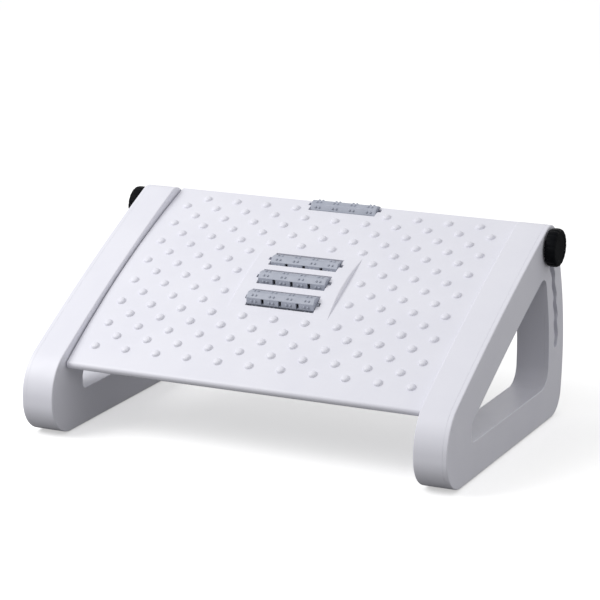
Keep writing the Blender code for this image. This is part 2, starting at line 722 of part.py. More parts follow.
def rib_places():
    """Cross ribs: before, round and behind the three rollers of the hump."""
    middle = PANEL_FRONT + HUMP_CENTRE
    beside = HUMP_HALF_LENGTH + HUMP_HEIGHT / 2
    front = PANEL_FRONT + (HUMP_CENTRE - beside) * FRONT_ROW_SHARE
    ribs = [front, middle - beside, middle - ROLLER_SPACING / 2, middle + ROLLER_SPACING / 2,
            middle + beside]
    clear = PANEL_REAR - ribs[-1]
    return ribs + [ribs[-1] + clear * share for share in REAR_ROW_SHARES]


def row_spans():
    """The clear spans along the panel between its cross ribs."""
    half_rib = PANEL_RIB / 2
    ribs = rib_places()
    starts = [PANEL_FRONT + NOSE_WALL] + [place + half_rib for place in ribs]
    ends = [place - half_rib for place in ribs] + [PANEL_REAR - SIDE_WALL]
    return list(zip(starts, ends))


def cell_loop(start, end):
    """A pocket below the deck, seen from the side; its roof follows the deck."""
    places = (start, (start + end) / 2, end)
    roof = [Vector((place, deck_top(place) - DECK_THICKNESS)) for place in places]
    floor = -SKIRT_DEPTH - OVERRUN
    return roof + [Vector((end, floor)), Vector((start, floor))]


def cell_mesh():
    """Every pocket of the ribbed underside, joined into one cutter."""
    shape = bmesh.new()
    for start, end in row_spans():
        for low, high in column_spans():
            piece = side_mesh("cell", [cell_loop(start, end)], low, high)
            shape.from_mesh(piece)
            bpy.data.meshes.remove(piece)
    mesh = bpy.data.meshes.new("panel_cells")
    shape.to_mesh(mesh)
    shape.free()
    return mesh


def hump_mesh():
    """A low barrel on the deck whose side walls flare out to the deck."""
    centre = PANEL_FRONT + HUMP_CENTRE
    crest = []
    for step in range(9):
        place = centre + HUMP_HALF_LENGTH * (step - 4) / 4
        crest.append(Vector((place, deck_top(place) + hump_rise(place))))
    root = [Vector((point.x, deck_top(point.x) - HUMP_ROOT)) for point in reversed(crest)]
    mesh = side_mesh("panel_hump", [crest + root], -HUMP_HALF_WIDTH, HUMP_HALF_WIDTH)
    for vertex in mesh.vertices:
        peak = hump_rise(vertex.co.y)
        lift = max(0.0, vertex.co.z - deck_top(vertex.co.y))
        flare = HUMP_FLARE_SHARE * (peak - 2 * lift)
        vertex.co.x += math.copysign(flare, vertex.co.x)
    return mesh


def roller_places():
    """Axis places (along, above) of the three hump rollers and the rear one."""
    places = []
    sinks = (FRONT_ROLLER_SINK, MIDDLE_ROLLER_SINK, BACK_ROLLER_SINK)
    for index, sink in zip((-1, 0, 1), sinks):
        along = PANEL_FRONT + HUMP_CENTRE + ROLLER_SPACING * index
        places.append((along, deck_top(along) + hump_rise(along) - sink))
    rear = PANEL_REAR - REAR_ROLLER_MARGIN
    places.append((rear, deck_top(rear) - REAR_ROLLER_SINK))
    return places


def add_roller_wells(shape):
    """A well through the deck for each roller; the last one is open to the rear."""
    ceiling = PANEL_RISE + PANEL_BOW + HUMP_HEIGHT + OVERRUN
    reach = ROLLER_RADIUS + WELL_CLEARANCE
    for along, above in roller_places():
        end = along + reach
        if end > PANEL_REAR - SIDE_WALL:
            end = PANEL_REAR + OVERRUN
        add_box(shape, (-BEARING_INNER, along - reach, -SKIRT_DEPTH - OVERRUN),
                (BEARING_INNER, end, ceiling))


def add_axle_seats(shape):
    for place in roller_places():
        add_rod(shape, AXLE_RADIUS + FIT_GAP, -SEAT_END, SEAT_END, place, 12)


def add_snap_throats(shape):
    """Slots above the axle seats, narrower than the axles, that they snap in through."""
    ceiling = PANEL_RISE + PANEL_BOW + HUMP_HEIGHT + OVERRUN
    half = SNAP_THROAT / 2
    for along, above in roller_places():
        add_box(shape, (-SEAT_END, along - half, above), (SEAT_END, along + half, ceiling))


def add_panel_bosses(shape):
    """Hinge knuckles at the front corners and insert bosses near the rear."""
    for side in (-1, 1):
        edge = side * (PANEL_HALF_WIDTH - PANEL_EDGE_FILLET)
        add_rod(shape, KNUCKLE_RADIUS, edge - side * KNUCKLE_LENGTH, edge, (0.0, 0.0), 16)
        add_rod(shape, INSERT_BOSS_RADIUS, edge - side * INSERT_BOSS_LENGTH, edge, STUD_PLACE, 16)


def add_panel_bores(shape):
    """Bores for the pivot pins and, in two steps, for the inserts and stud tips."""
    for side in (-1, 1):
        outside = side * (PANEL_HALF_WIDTH + OVERRUN)
        pin_end = side * (PANEL_HALF_WIDTH - PIN_PANEL_REACH - FIT_GAP)
        add_rod(shape, PIN_RADIUS + FIT_GAP, pin_end, outside, (0.0, 0.0), 14)
        insert_end = side * (PANEL_HALF_WIDTH - INSERT_LENGTH - 2 * FIT_GAP)
        add_rod(shape, INSERT_RADIUS + FIT_GAP, insert_end, outside, STUD_PLACE, 14)


def dome_places():
    """Staggered rows of massage domes, left out round the rollers."""
    span = PANEL_LENGTH - DOME_FRONT_MARGIN - DOME_REAR_MARGIN
    pitch = span / (DOME_ROWS - 1)
    places = []
    for row in range(DOME_ROWS):
        along = PANEL_FRONT + DOME_FRONT_MARGIN + pitch * row
        offset = 0.5 if row % 2 else 0.0
        columns = range(-DOME_COLUMNS, DOME_COLUMNS + (0 if row % 2 else 1))
        for column in columns:
            across = DOME_COLUMN_PITCH * (column + offset)
            hump_away = abs(along - PANEL_FRONT - HUMP_CENTRE) > HUMP_HALF_LENGTH + DOME_RADIUS / 2
            beside_hump = abs(across) > HUMP_HALF_WIDTH + DOME_RADIUS
            rear_well = along > PANEL_REAR - 2 * ROLLER_RADIUS and abs(across) < BEARING_OUTER
            if (hump_away or beside_hump) and not rear_well:
                places.append((across, along))
    return places


def add_domes(shape):
    for across, along in dome_places():
        place = Matrix.Translation((across, along, deck_top(along) - DOME_SINK))
        lean = Matrix.Rotation(deck_slope(along), 4, "X")
        size = Matrix.Diagonal((DOME_RADIUS, DOME_RADIUS, DOME_HEIGHT + DOME_SINK, 1.0))
        bmesh.ops.create_uvsphere(shape, u_segments=8, v_segments=4, radius=1.0,
                                  matrix=place @ lean @ size)


def build_panel(axis):
    """The moulded foot panel: ribbed tray, hump, roller wells, bosses and domes."""
    loop = tray_outline()
    mesh = side_mesh("foot_panel", [loop], -PANEL_HALF_WIDTH, PANEL_HALF_WIDTH)
    for level in (-PANEL_HALF_WIDTH, PANEL_HALF_WIDTH):
        round_rim(mesh, 0, level, tray_top_points(), PANEL_EDGE_FILLET, 1)
    panel = add_object("foot_panel", mesh, PARTS, WHITE_PLASTIC, axis)

    def step(name, cutter_mesh, operation):
        combine(panel, add_object(name, cutter_mesh, CUTTERS, parent=axis), operation)

    step("panel_hump", hump_mesh(), "UNION")
    step("panel_cells", cell_mesh(), "DIFFERENCE")
    step("panel_bosses", joined_mesh("panel_bosses", add_panel_bosses), "UNION")
    step("panel_wells", joined_mesh("panel_wells", add_roller_wells), "DIFFERENCE")
    step("panel_axle_seats", joined_mesh("panel_axle_seats", add_axle_seats), "DIFFERENCE")
    step("panel_snap_throats", joined_mesh("panel_snap_throats", add_snap_throats), "DIFFERENCE")
    step("panel_bores", joined_mesh("panel_bores", add_panel_bores), "DIFFERENCE")
    step("panel_domes", joined_mesh("panel_domes", add_domes), "UNION")
    shade(panel)
    return panel


# Rollers

def roller_profile():
    """Half section of a roller with chamfered ends and a bore."""
    bore = AXLE_RADIUS + FIT_GAP
    low_radius = ROLLER_RADIUS - ROLLER_CHAMFER
    shoulder = ROLLER_HALF_LENGTH - ROLLER_CHAMFER
    return [(bore, ROLLER_HALF_LENGTH), (low_radius, ROLLER_HALF_LENGTH), (ROLLER_RADIUS, shoulder),
            (ROLLER_RADIUS, -shoulder), (low_radius, -ROLLER_HALF_LENGTH),
            (bore, -ROLLER_HALF_LENGTH)]


def add_notches(shape):
    """Deep pockets between a roller's segments, in two opposite facets."""
    low = ROLLER_RADIUS - NOTCH_DEPTH
    high = ROLLER_RADIUS + OVERRUN
    for index in range(1, ROLLER_SEGMENTS):
        middle = (ROLLER_HALF_LENGTH + NOTCH_WIDTH / 2) * (1 - 2 * index / ROLLER_SEGMENTS)
        for face in (-1, 1):
            start, end = sorted((face * low, face * high))
            add_box(shape, (middle - NOTCH_WIDTH / 2, -NOTCH_HEIGHT / 2, start),
                    (middle + NOTCH_WIDTH / 2, NOTCH_HEIGHT / 2, end))


def build_rollers(axis):
    names = ("front", "middle", "back", "rear_edge")
    turns = (0.0, 0.0, 0.0, REAR_ROLLER_TURN)
    rod = [(0.0, AXLE_HALF_LENGTH), (AXLE_RADIUS, AXLE_HALF_LENGTH),
           (AXLE_RADIUS, -AXLE_HALF_LENGTH), (0.0, -AXLE_HALF_LENGTH)]
    for name, (along, above), turn in zip(names, roller_places(), turns):
        spin = add_axis(f"spin_axis_{name}", (0.0, along, above), axis, turn)
        roller_mesh = turned_mesh(f"roller_{name}", roller_profile(), ROLLER_SIDES)
        roller = add_object(f"roller_{name}", roller_mesh, PARTS, GREY_PLASTIC, spin)
        axle_mesh = turned_mesh(f"axle_{name}", rod, 12)
        axle = add_object(f"axle_{name}", axle_mesh, PARTS, STEEL, spin)
        for piece in (roller, axle):
            piece.rotation_euler = (0.0, math.pi / 2, 0.0)
        notches = joined_mesh(f"notches_{name}", add_notches)
        cutter = add_object(f"notches_{name}", notches, CUTTERS, parent=spin)
        cutter.rotation_euler = (NOTCH_ANGLE, 0.0, 0.0)
        combine(roller, cutter, "DIFFERENCE")
        shade(axle)


# Clamp hardware

def knob_loop():
    """Outline of the fluted grip: a ridge and a valley for each flute."""
    points = []
    corners = [(share, KNOB_RADIUS) for share in RIDGE_SHARES]
    corners += [(share, KNOB_RADIUS - FLUTE_DEPTH) for share in VALLEY_SHARES]
    for index in range(KNOB_FLUTES):
        for share, radius in corners:
            angle = 2 * math.pi * (index + share) / KNOB_FLUTES
            points.append(Vector((math.cos(angle) * radius, math.sin(angle) * radius)))
    return points


def build_clamp(side, tag, panel_axis):
    """Knob, stud, washer and threaded insert on one side's stud axis."""
    axis = add_axis(f"stud_axis_{tag}", (0.0, STUD_PLACE.x, STUD_PLACE.y), panel_axis)
    turn = (0.0, side * math.pi / 2, 0.0)

    loop = knob_loop()
    grip = flat_mesh(f"knob_{tag}", [loop], KNOB_LENGTH)
    round_rim(grip, 2, KNOB_LENGTH / 2, loop, KNOB_RIM_FILLET, 2)
    round_rim(grip, 2, -KNOB_LENGTH / 2, loop, KNOB_BACK_FILLET, 1)
    knob = add_object(f"knob_{tag}", grip, PARTS, BLACK_PLASTIC, axis)
    knob.location = (side * (KNOB_BACK + KNOB_LENGTH / 2), 0.0, 0.0)
    knob.rotation_euler = turn
    socket = joined_mesh(f"knob_{tag}_socket", lambda shape: add_rod(
        shape, STUD_RADIUS + FIT_GAP, side * (KNOB_BACK - OVERRUN),
        side * (KNOB_BACK + KNOB_SOCKET_DEPTH), (0.0, 0.0), 16))
    combine(knob, add_object(f"knob_{tag}_socket", socket, CUTTERS, parent=axis), "DIFFERENCE")
    shade(knob, 30)

    tip = PANEL_HALF_WIDTH - STUD_INSERT_REACH
    head = KNOB_BACK + KNOB_SOCKET_DEPTH - FIT_GAP
    rod = [(0.0, head), (STUD_RADIUS, head), (STUD_RADIUS, tip + STUD_TIP_CHAMFER),
           (STUD_RADIUS - STUD_TIP_CHAMFER, tip), (0.0, tip)]
    stud = add_object(f"stud_{tag}", turned_mesh(f"stud_{tag}", rod, 16), PARTS, STEEL, axis)

    bore = STUD_RADIUS + FIT_GAP
    low = WASHER_SEAT
    high = WASHER_SEAT + WASHER_THICKNESS
    ring = [(bore, high), (WASHER_RADIUS, high), (WASHER_RADIUS, low), (bore, low)]
    washer = add_object(f"washer_{tag}", turned_mesh(f"washer_{tag}", ring, 24), PARTS, STEEL, axis)

    outer = PANEL_HALF_WIDTH - FIT_GAP
    inner = outer - INSERT_LENGTH
    sleeve = [(bore, outer), (INSERT_RADIUS, outer), (INSERT_RADIUS, inner), (bore, inner)]
    insert = add_object(f"insert_{tag}", turned_mesh(f"insert_{tag}", sleeve, 16), PARTS, BRASS, axis)

    for piece in (stud, washer, insert):
        piece.rotation_euler = turn
        shade(piece)


# Assembly

for frame_side, frame_tag in ((-1, "left"), (1, "right")):
    build_inner_shell(frame_side, frame_tag)
    build_cover(frame_side, frame_tag)
    build_pads(frame_side, frame_tag)
    build_pivot_pin(frame_side, frame_tag)

PANEL_AXIS = add_axis("panel_axis", (0.0, PIVOT.x, PIVOT.y), tilt=PANEL_ANGLE)
build_panel(PANEL_AXIS)
build_rollers(PANEL_AXIS)
for clamp_side, clamp_tag in ((-1, "left"), (1, "right")):
    build_clamp(clamp_side, clamp_tag, PANEL_AXIS)
bpy.context.view_layer.update()
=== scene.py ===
# %% [markdown]
# # An adjustable footrest with massage rollers
# A white moulded panel hangs between two hollow plastic side frames. It hinges near the front, and
# black knobs clamp it at a height in wavy slots. Three grey rollers sit in a hump on the panel, and
# one more in its rear edge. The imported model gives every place; here each piece gets its real form
# and its finish. Everything is in metres.

# %% Load the frame
import math
import bmesh
import bpy
from mathutils import Matrix, Vector


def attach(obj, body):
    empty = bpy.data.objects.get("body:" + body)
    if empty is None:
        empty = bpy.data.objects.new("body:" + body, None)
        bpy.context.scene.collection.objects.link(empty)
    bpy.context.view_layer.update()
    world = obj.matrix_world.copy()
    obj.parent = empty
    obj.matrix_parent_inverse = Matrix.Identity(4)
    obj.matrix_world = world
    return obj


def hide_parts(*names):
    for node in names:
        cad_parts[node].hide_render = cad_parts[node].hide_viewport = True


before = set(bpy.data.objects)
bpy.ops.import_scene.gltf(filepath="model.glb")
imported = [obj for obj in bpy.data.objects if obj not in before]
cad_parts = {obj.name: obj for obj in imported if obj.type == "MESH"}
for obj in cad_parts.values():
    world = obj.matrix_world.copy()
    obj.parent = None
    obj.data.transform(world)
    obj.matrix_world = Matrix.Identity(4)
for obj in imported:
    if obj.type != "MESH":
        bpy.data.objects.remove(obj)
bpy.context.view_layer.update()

# %% [markdown]
# ## The camera
# The photograph was taken from the front right, a little above the panel, with a long lens. The
# camera stands on a line from the object: so far round, so far up, so far away, and rolled by a
# third of a degree. A long lens keeps the parallel edges nearly parallel.

# %% Camera
CAMERA_AZIMUTH = math.radians(25.86)
CAMERA_ELEVATION = math.radians(15.0)
CAMERA_ROLL = math.radians(-0.35)
CAMERA_DISTANCE = 2.559
CAMERA_TARGET = Vector((0.0098, -0.0105, 0.1337))
away = Vector((math.sin(CAMERA_AZIMUTH) * math.cos(CAMERA_ELEVATION),
               -math.cos(CAMERA_AZIMUTH) * math.cos(CAMERA_ELEVATION),
               math.sin(CAMERA_ELEVATION)))
sideways = Vector((math.cos(CAMERA_AZIMUTH), math.sin(CAMERA_AZIMUTH), 0.0))
upwards = away.cross(sideways)
rolled_side = sideways * math.cos(CAMERA_ROLL) + upwards * math.sin(CAMERA_ROLL)
rolled_up = upwards * math.cos(CAMERA_ROLL) - sideways * math.sin(CAMERA_ROLL)
bpy.ops.object.camera_add()
camera = bpy.context.object
camera.name = "camera"
camera.data.lens = 153.4
camera.data.sensor_width = 36.0
camera.matrix_world = (Matrix.Translation(CAMERA_TARGET + away * CAMERA_DISTANCE)
                       @ Matrix((rolled_side, rolled_up, away)).transposed().to_4x4())
bpy.context.scene.camera = camera
print("camera stands at", tuple(round(value, 3) for value in camera.matrix_world.translation))

# %% [markdown]
# ## Hands for edit mode
# Modelling by hand is mostly three acts: take a piece, pick some of its faces, edges or points, and
# move or extrude them. Small helpers do these acts in code. `pick` looks at the middle of each
# element, so a step can say "the faces on top" just as an eye would.

# %% Helpers that stand in for hands
SAME_POINT = 0.000002
SAME_PLACE = 0.00001


def take(piece):
    """Make one piece the only one that is selected, in object mode."""
    if bpy.context.mode != "OBJECT":
        bpy.ops.object.mode_set(mode="OBJECT")
    bpy.ops.object.select_all(action="DESELECT")
    bpy.context.view_layer.objects.active = piece
    piece.select_set(True)


def open_piece(piece):
    """Take a piece and go into edit mode with all of it selected."""
    take(piece)
    bpy.ops.object.mode_set(mode="EDIT")
    bpy.ops.mesh.select_all(action="SELECT")


def pick(kind, test):
    """In edit mode, select the points, edges or faces whose middle passes a test."""
    bpy.ops.mesh.select_mode(type=kind)
    bpy.ops.mesh.select_all(action="DESELECT")
    shape = bmesh.from_edit_mesh(bpy.context.object.data)
    items = {"VERT": shape.verts, "EDGE": shape.edges, "FACE": shape.faces}[kind]
    for item in items:
        corners = [item] if kind == "VERT" else item.verts
        middle = sum((corner.co for corner in corners), Vector()) / len(corners)
        if test(middle, item):
            item.select = True
    shape.select_flush_mode()
    bmesh.update_edit_mesh(bpy.context.object.data)


def move(x=0.0, y=0.0, z=0.0):
    bpy.ops.transform.translate(value=(x, y, z))


def extrude(x=0.0, y=0.0, z=0.0):
    bpy.ops.mesh.extrude_region_move(TRANSFORM_OT_translate={"value": (x, y, z)})


def widen(share):
    """Scale what is selected about the Z axis."""
    bpy.ops.transform.resize(value=(share, share, 1.0), center_override=(0.0, 0.0, 0.0))


def slice_at(place, direction):
    """Cut new edges through the whole piece, where a plane meets it."""
    bpy.ops.mesh.select_all(action="SELECT")
    bpy.ops.mesh.bisect(plane_co=place, plane_no=direction, threshold=SAME_PLACE)


def merge_doubles():
    """Make one point of those that lie on each other, and leave everything selected."""
    bpy.ops.mesh.select_all(action="SELECT")
    bpy.ops.mesh.remove_doubles(threshold=SAME_POINT)


def close_piece():
    """Merge doubles, point the faces outwards and leave edit mode."""
    merge_doubles()
    bpy.ops.mesh.normals_make_consistent(inside=False)
    bpy.ops.object.mode_set(mode="OBJECT")
    return bpy.context.object


def settle(piece):
    """Put a piece's place into its mesh, so that the object sits at the origin."""
    take(piece)
    bpy.ops.object.transform_apply(location=True, rotation=True, scale=True)
    return piece


def combine(piece, tool, operation="DIFFERENCE"):
    """Cut with a tool, or join it, and throw the tool away."""
    take(piece)
    step = piece.modifiers.new("combine", "BOOLEAN")
    step.operation = operation
    step.object = tool
    step.solver = "EXACT"
    bpy.ops.object.modifier_apply(modifier=step.name)
    bpy.data.objects.remove(tool, do_unlink=True)


def join(pieces, name):
    take(pieces[0])
    for piece in pieces:
        piece.select_set(True)
    bpy.ops.object.join()
    pieces[0].name = name
    return pieces[0]


def first_point(name, place):
    """A new piece that is a single selected point: a small plane whose corners are merged."""
    bpy.ops.object.select_all(action="DESELECT")
    bpy.ops.mesh.primitive_plane_add(size=0.001)
    bpy.context.object.name = name
    bpy.ops.object.mode_set(mode="EDIT")
    bpy.ops.mesh.select_mode(type="VERT")
    bpy.ops.mesh.select_all(action="SELECT")
    bpy.ops.mesh.merge(type="CENTER")
    move(*place)


def disc(name, radius, points):
    """A new flat disc, open in edit mode with its one face selected."""
    bpy.ops.object.select_all(action="DESELECT")
    bpy.ops.mesh.primitive_circle_add(vertices=points, radius=radius, fill_type="NGON")
    bpy.context.object.name = name
    bpy.ops.object.mode_set(mode="EDIT")
    bpy.ops.mesh.select_mode(type="FACE")
    bpy.ops.mesh.select_all(action="SELECT")
    return bpy.context.object


def raise_rings(radius, rings):
    """Make a disc into a dome: each ring is extruded from the last, drawn in and lifted."""
    for ring, height in rings:
        extrude()
        widen(ring / radius)
        top = max(corner.co.z for corner in bmesh.from_edit_mesh(bpy.context.object.data).verts)
        move(z=height - top)
        radius = ring


def copy_of(piece, name):
    """A copy with its own mesh."""
    twin = piece.copy()
    twin.data = piece.data.copy()
    twin.name = name
    bpy.context.scene.collection.objects.link(twin)
    return twin


def mirrored(piece, name):
    """A copy for the left side: mirrored across the middle plane, its faces turned back out."""
    twin = copy_of(piece, name)
    take(twin)
    twin.scale.x = -1.0
    bpy.ops.object.transform_apply(location=False, rotation=False, scale=True)
    open_piece(twin)
    return close_piece()


def rod(name, radius, start, end, across, sides=32):
    """A round rod along X between two places, at (y, z)."""
    bpy.ops.object.select_all(action="DESELECT")
    bpy.ops.mesh.primitive_cylinder_add(vertices=sides, radius=radius, depth=abs(end - start),
                                        location=((start + end) / 2, *across),
                                        rotation=(0.0, math.pi / 2, 0.0))
    piece = bpy.context.object
    piece.name = name
    return settle(piece)


def block(name, low, high):
    """A box between two corners."""
    centre = (Vector(low) + Vector(high)) / 2
    bpy.ops.object.select_all(action="DESELECT")
    bpy.ops.mesh.primitive_cube_add(size=1.0, location=centre)
    piece = bpy.context.object
    piece.name = name
    piece.scale = Vector(high) - Vector(low)
    return settle(piece)


def shade(piece, angle=32):
    """Smooth shading that stays crisp on sharp edges and flat on large faces."""
    take(piece)
    bpy.ops.object.shade_smooth_by_angle(angle=math.radians(angle))
    weights = piece.modifiers.new("weights", "WEIGHTED_NORMAL")
    weights.keep_sharp = True
    bpy.ops.object.modifier_apply(modifier=weights.name)
    print(piece.name, len(piece.data.polygons), "faces")


# %% [markdown]
# ## The side frames' outline
# Each side frame is a soft triangle, 35 mm thick, with a triangular window. From the side its
# bottom is straight, its top runs up beside the panel with a slight bow, and its rear edge is an
# arc about the panel's hinge, so that the slot keeps its distance from it. The outline is drawn as
# one would by hand: a single point is extruded along the straights and spun round the corners.

# %% Sizes of the frames
INNER_FACE = 0.195
PARTING = 0.225
OUTER_FACE = 0.230
PIVOT = Vector((-0.12055, 0.074))
FRONT = -0.15465
FLOOR_GAP = 0.0012
SLOT_RADIUS = 0.2525
TOP_ANGLE = math.radians(25.96)
LOW_ANGLE = math.radians(1.11)
ALONG = Vector((math.cos(TOP_ANGLE), math.sin(TOP_ANGLE)))
ABOVE = Vector((-ALONG.y, ALONG.x))
TOP_AT_HINGE = 0.0133
TOP_AT_SLOT = 0.0198
TOP_BOW = 0.0033
REAR_RADIUS = 0.2752
REAR_HIGH = TOP_ANGLE - 0.0727
REAR_FOOT = 0.0282
BEAM_DEPTH = 0.0415
WINDOW_FRONT = FRONT + 0.0605
WINDOW_SILL = 0.038
WINDOW_RADIUS = 0.2334
WINDOW_HIGH = (TOP_ANGLE + LOW_ANGLE) / 2
WINDOW_FOOT = 0.058
PIN_BORE = 0.0028


def top_edge(share, below=0.0):
    """A point of the bowed top edge, or of a line that runs below it."""
    start = PIVOT + ABOVE * TOP_AT_HINGE
    end = PIVOT + ALONG * SLOT_RADIUS + ABOVE * TOP_AT_SLOT
    return start.lerp(end, share) + ABOVE * (4 * TOP_BOW * share * (1 - share) - below)


def about_pivot(radius, angle):
    return PIVOT + Vector((math.cos(angle), math.sin(angle))) * radius


def rear_arc(radius, high, foot, steps):
    """Points of an arc about the hinge, from an angle down to a height over the floor."""
    low = math.asin((foot - PIVOT.y) / radius)
    return [about_pivot(radius, high + (low - high) * step / steps) for step in range(steps + 1)]


def crossing(point, direction, other, other_direction):
    """Where two lines meet."""
    reach = (other - point).cross(other_direction) / direction.cross(other_direction)
    return point + direction * reach


def soft_triangle(top, rear, front, bottom, rounds):
    """Corners clockwise from the toe, each with the radius that rounds it."""
    nose = crossing(top[0], top[1] - top[0], Vector((front, 0.0)), Vector((0.0, 1.0)))
    crown = crossing(top[-1], top[-1] - top[-2], rear[0], rear[0] - rear[1])
    heel = crossing(rear[-1], rear[-1] - rear[-2], Vector((0.0, bottom)), Vector((1.0, 0.0)))
    toe_round, nose_round, crown_round, heel_round = rounds
    return ([(Vector((front, bottom)), toe_round), (nose, nose_round)]
            + [(point, 0.0) for point in top[1:-1]] + [(crown, crown_round)]
            + [(point, 0.0) for point in rear[1:-1]] + [(heel, heel_round)])


def outer_corners():
    top = [top_edge(step / 10) for step in range(11)]
    rear = rear_arc(REAR_RADIUS, REAR_HIGH, REAR_FOOT, 12)
    return soft_triangle(top, rear, FRONT, FLOOR_GAP, (0.035, 0.050, 0.020, 0.027))


def window_corners():
    top = [top_edge(0.16 + 0.72 * step / 8, BEAM_DEPTH) for step in range(9)]
    rear = rear_arc(WINDOW_RADIUS, WINDOW_HIGH, WINDOW_FOOT, 6)
    return soft_triangle(top, rear, WINDOW_FRONT, WINDOW_SILL, (0.006, 0.013, 0.011, 0.020))


def draw_outline(name, corners, x, inset=0.0):
    """Draw a closed outline at one x; a positive inset draws it smaller all round."""
    here = None
    count = len(corners)
    for index, (corner, radius) in enumerate(corners):
        before = (corners[index - 1][0] - corner).normalized()
        after = (corners[(index + 1) % count][0] - corner).normalized()
        opening = before.angle(after)
        aside = Vector((after.y, -after.x))
        straight = opening > math.pi - 0.0001
        inward = aside if straight else (before + after).normalized()
        if inward.dot(aside) < 0:
            inward = -inward
        spot = corner + inward * (inset / math.sin(opening / 2))
        size = max(radius - inset, 0.0)
        target = spot + before * (size / math.tan(opening / 2)) if size else spot
        if here is None:
            first_point(name, (x, *target))
        else:
            extrude(0.0, *(target - here))
        here = target
        if size:
            centre = spot + inward * (size / math.sin(opening / 2))
            sweep = math.pi - opening
            bpy.ops.mesh.spin(steps=max(6, round(sweep / 0.07)), angle=sweep,
                              center=(x, centre.x, centre.y), axis=(1.0, 0.0, 0.0))
            here = spot + after * (size / math.tan(opening / 2))
    merge_doubles()
    bpy.ops.mesh.edge_face_add()


def slab(name, corners, start, end, inset=0.0):
    """A drawn outline, filled and extruded along X."""
    draw_outline(name, corners, start, inset)
    extrude(x=end - start)
    return close_piece()


# %% [markdown]
# ## The wavy slot
# The stud drops into a hollow of the slot at each of six heights. To model it, a short edge as
# wide as the slot is spun about the hinge, which leaves a curved ribbon. Each crossing of the
# ribbon then moves in or out along its own radius, and the two ends are spun round to half circles.

# %% The slot as a tool
SLOT_WIDTH = 0.0095
SLOT_STEPS = 60
SLOT_HEIGHTS = 6
WAVE = 0.0012
SLOPE_SHARE = 0.69


def slot_shift(steps_down):
    """How far the slot's middle is pushed along the radius: a soft ratchet tooth."""
    phase = steps_down % 1.0
    if phase < SLOPE_SHARE:
        return -WAVE * math.cos(math.pi * phase / SLOPE_SHARE)
    return WAVE * math.cos(math.pi * (phase - SLOPE_SHARE) / (1.0 - SLOPE_SHARE))


def slot_tool(name, start, end, margin=0.0, waves=1.0):
    """The slot as a solid to cut with; without waves and wider, it is the wall round the slot."""
    half = SLOT_WIDTH / 2 + margin
    inner = about_pivot(SLOT_RADIUS - half, TOP_ANGLE)
    outer = about_pivot(SLOT_RADIUS + half, TOP_ANGLE)
    first_point(name, (start, *inner))
    extrude(0.0, *(outer - inner))
    bpy.ops.mesh.select_all(action="SELECT")
    centre = (start, PIVOT.x, PIVOT.y)
    bpy.ops.mesh.spin(steps=SLOT_STEPS, angle=TOP_ANGLE - LOW_ANGLE, center=centre,
                      axis=(1.0, 0.0, 0.0))
    for row in range(SLOT_STEPS + 1):
        angle = TOP_ANGLE - (TOP_ANGLE - LOW_ANGLE) * row / SLOT_STEPS
        heading = Vector((math.cos(angle), math.sin(angle)))
        line = Vector((-heading.y, heading.x))
        pick("VERT", lambda place, item: abs((Vector(place.yz) - PIVOT).dot(line)) < 0.0004)
        shift = waves * slot_shift((SLOT_HEIGHTS - 1) * row / SLOT_STEPS)
        move(0.0, heading.x * shift, heading.y * shift)
    for angle, side in ((TOP_ANGLE, -1), (LOW_ANGLE, 1)):
        middle = about_pivot(SLOT_RADIUS - waves * WAVE, angle)
        rim = about_pivot(SLOT_RADIUS - waves * WAVE + side * half, angle)
        pick("VERT", lambda place, item: (Vector(place.yz) - rim).length < 0.0001)
        bpy.ops.mesh.spin(steps=10, angle=math.pi, center=(start, middle.x, middle.y),
                          axis=(1.0, 0.0, 0.0))
        merge_doubles()
        reach = half + 0.0002
        pick("EDGE", lambda place, item:
             (item.is_wire and (Vector(place.yz) - middle).length < reach)
             or ((Vector(place.yz) - middle).length < 0.0001 and item.is_boundary))
        bpy.ops.mesh.edge_face_add()
    bpy.ops.mesh.select_all(action="SELECT")
    bpy.ops.mesh.normals_make_consistent(inside=False)
    extrude(x=end - start)
    return close_piece()


# %% [markdown]
# ## The frame shells and covers
# A real frame is moulded as a deep shell and a shallow cover that snaps onto it, so a fine parting
# line runs round it, 5 mm from the outer face. Both are made the same way: the outline becomes a
# slab, the rim that shows is bevelled, the window is cut and its rim bevelled too, and a smaller
# outline hollows the inside. Round the slot a wall stays, and round the hinge pin a boss.

# %% Frame shell and cover
EDGE_ROUND = 0.0013
WINDOW_ROUND = 0.0006
WALL = 0.003
SLOT_WALL = 0.0034
PAST = 0.01
SEAM = 0.00012
LIP_PLAY = 0.0003
LIP_WALL = 0.0015
RIB_HALF = 0.0009
RIB_DROP = 0.0208


def round_rim(level, width, steps, near_window):
    """Bevel the rim of a flat side: the outer outline, or the window's."""
    def on_rim(place, edge):
        flat = all(abs(corner.co.x - level) < SAME_PLACE for corner in edge.verts)
        turned = any(abs(face.normal.x) < 0.5 for face in edge.link_faces)
        return flat and turned and near_middle(place) == near_window
    pick("EDGE", on_rim)
    bpy.ops.mesh.bevel(offset=width, segments=steps, profile=0.5, affect="EDGES")


def near_middle(place):
    """Whether a rim edge is the window's: those all lie well inside the outer outline."""
    spot = Vector(place.yz)
    below_top = (spot - top_edge(0.5)).dot(ABOVE) < -0.030
    in_front = (spot - PIVOT).length < 0.2400
    return below_top and in_front and spot.y > 0.030 and spot.x > FRONT + 0.055


def hollow(name, start, end):
    """The space inside a frame half, less the walls that stand in it."""
    space = slab(name, outer_corners(), start, end, inset=WALL)
    combine(space, slab("window_wall", window_corners(), start - PAST, end + PAST, inset=-WALL))
    combine(space, slot_tool("slot_wall", start - PAST, end + PAST, margin=SLOT_WALL, waves=0.0))
    return space


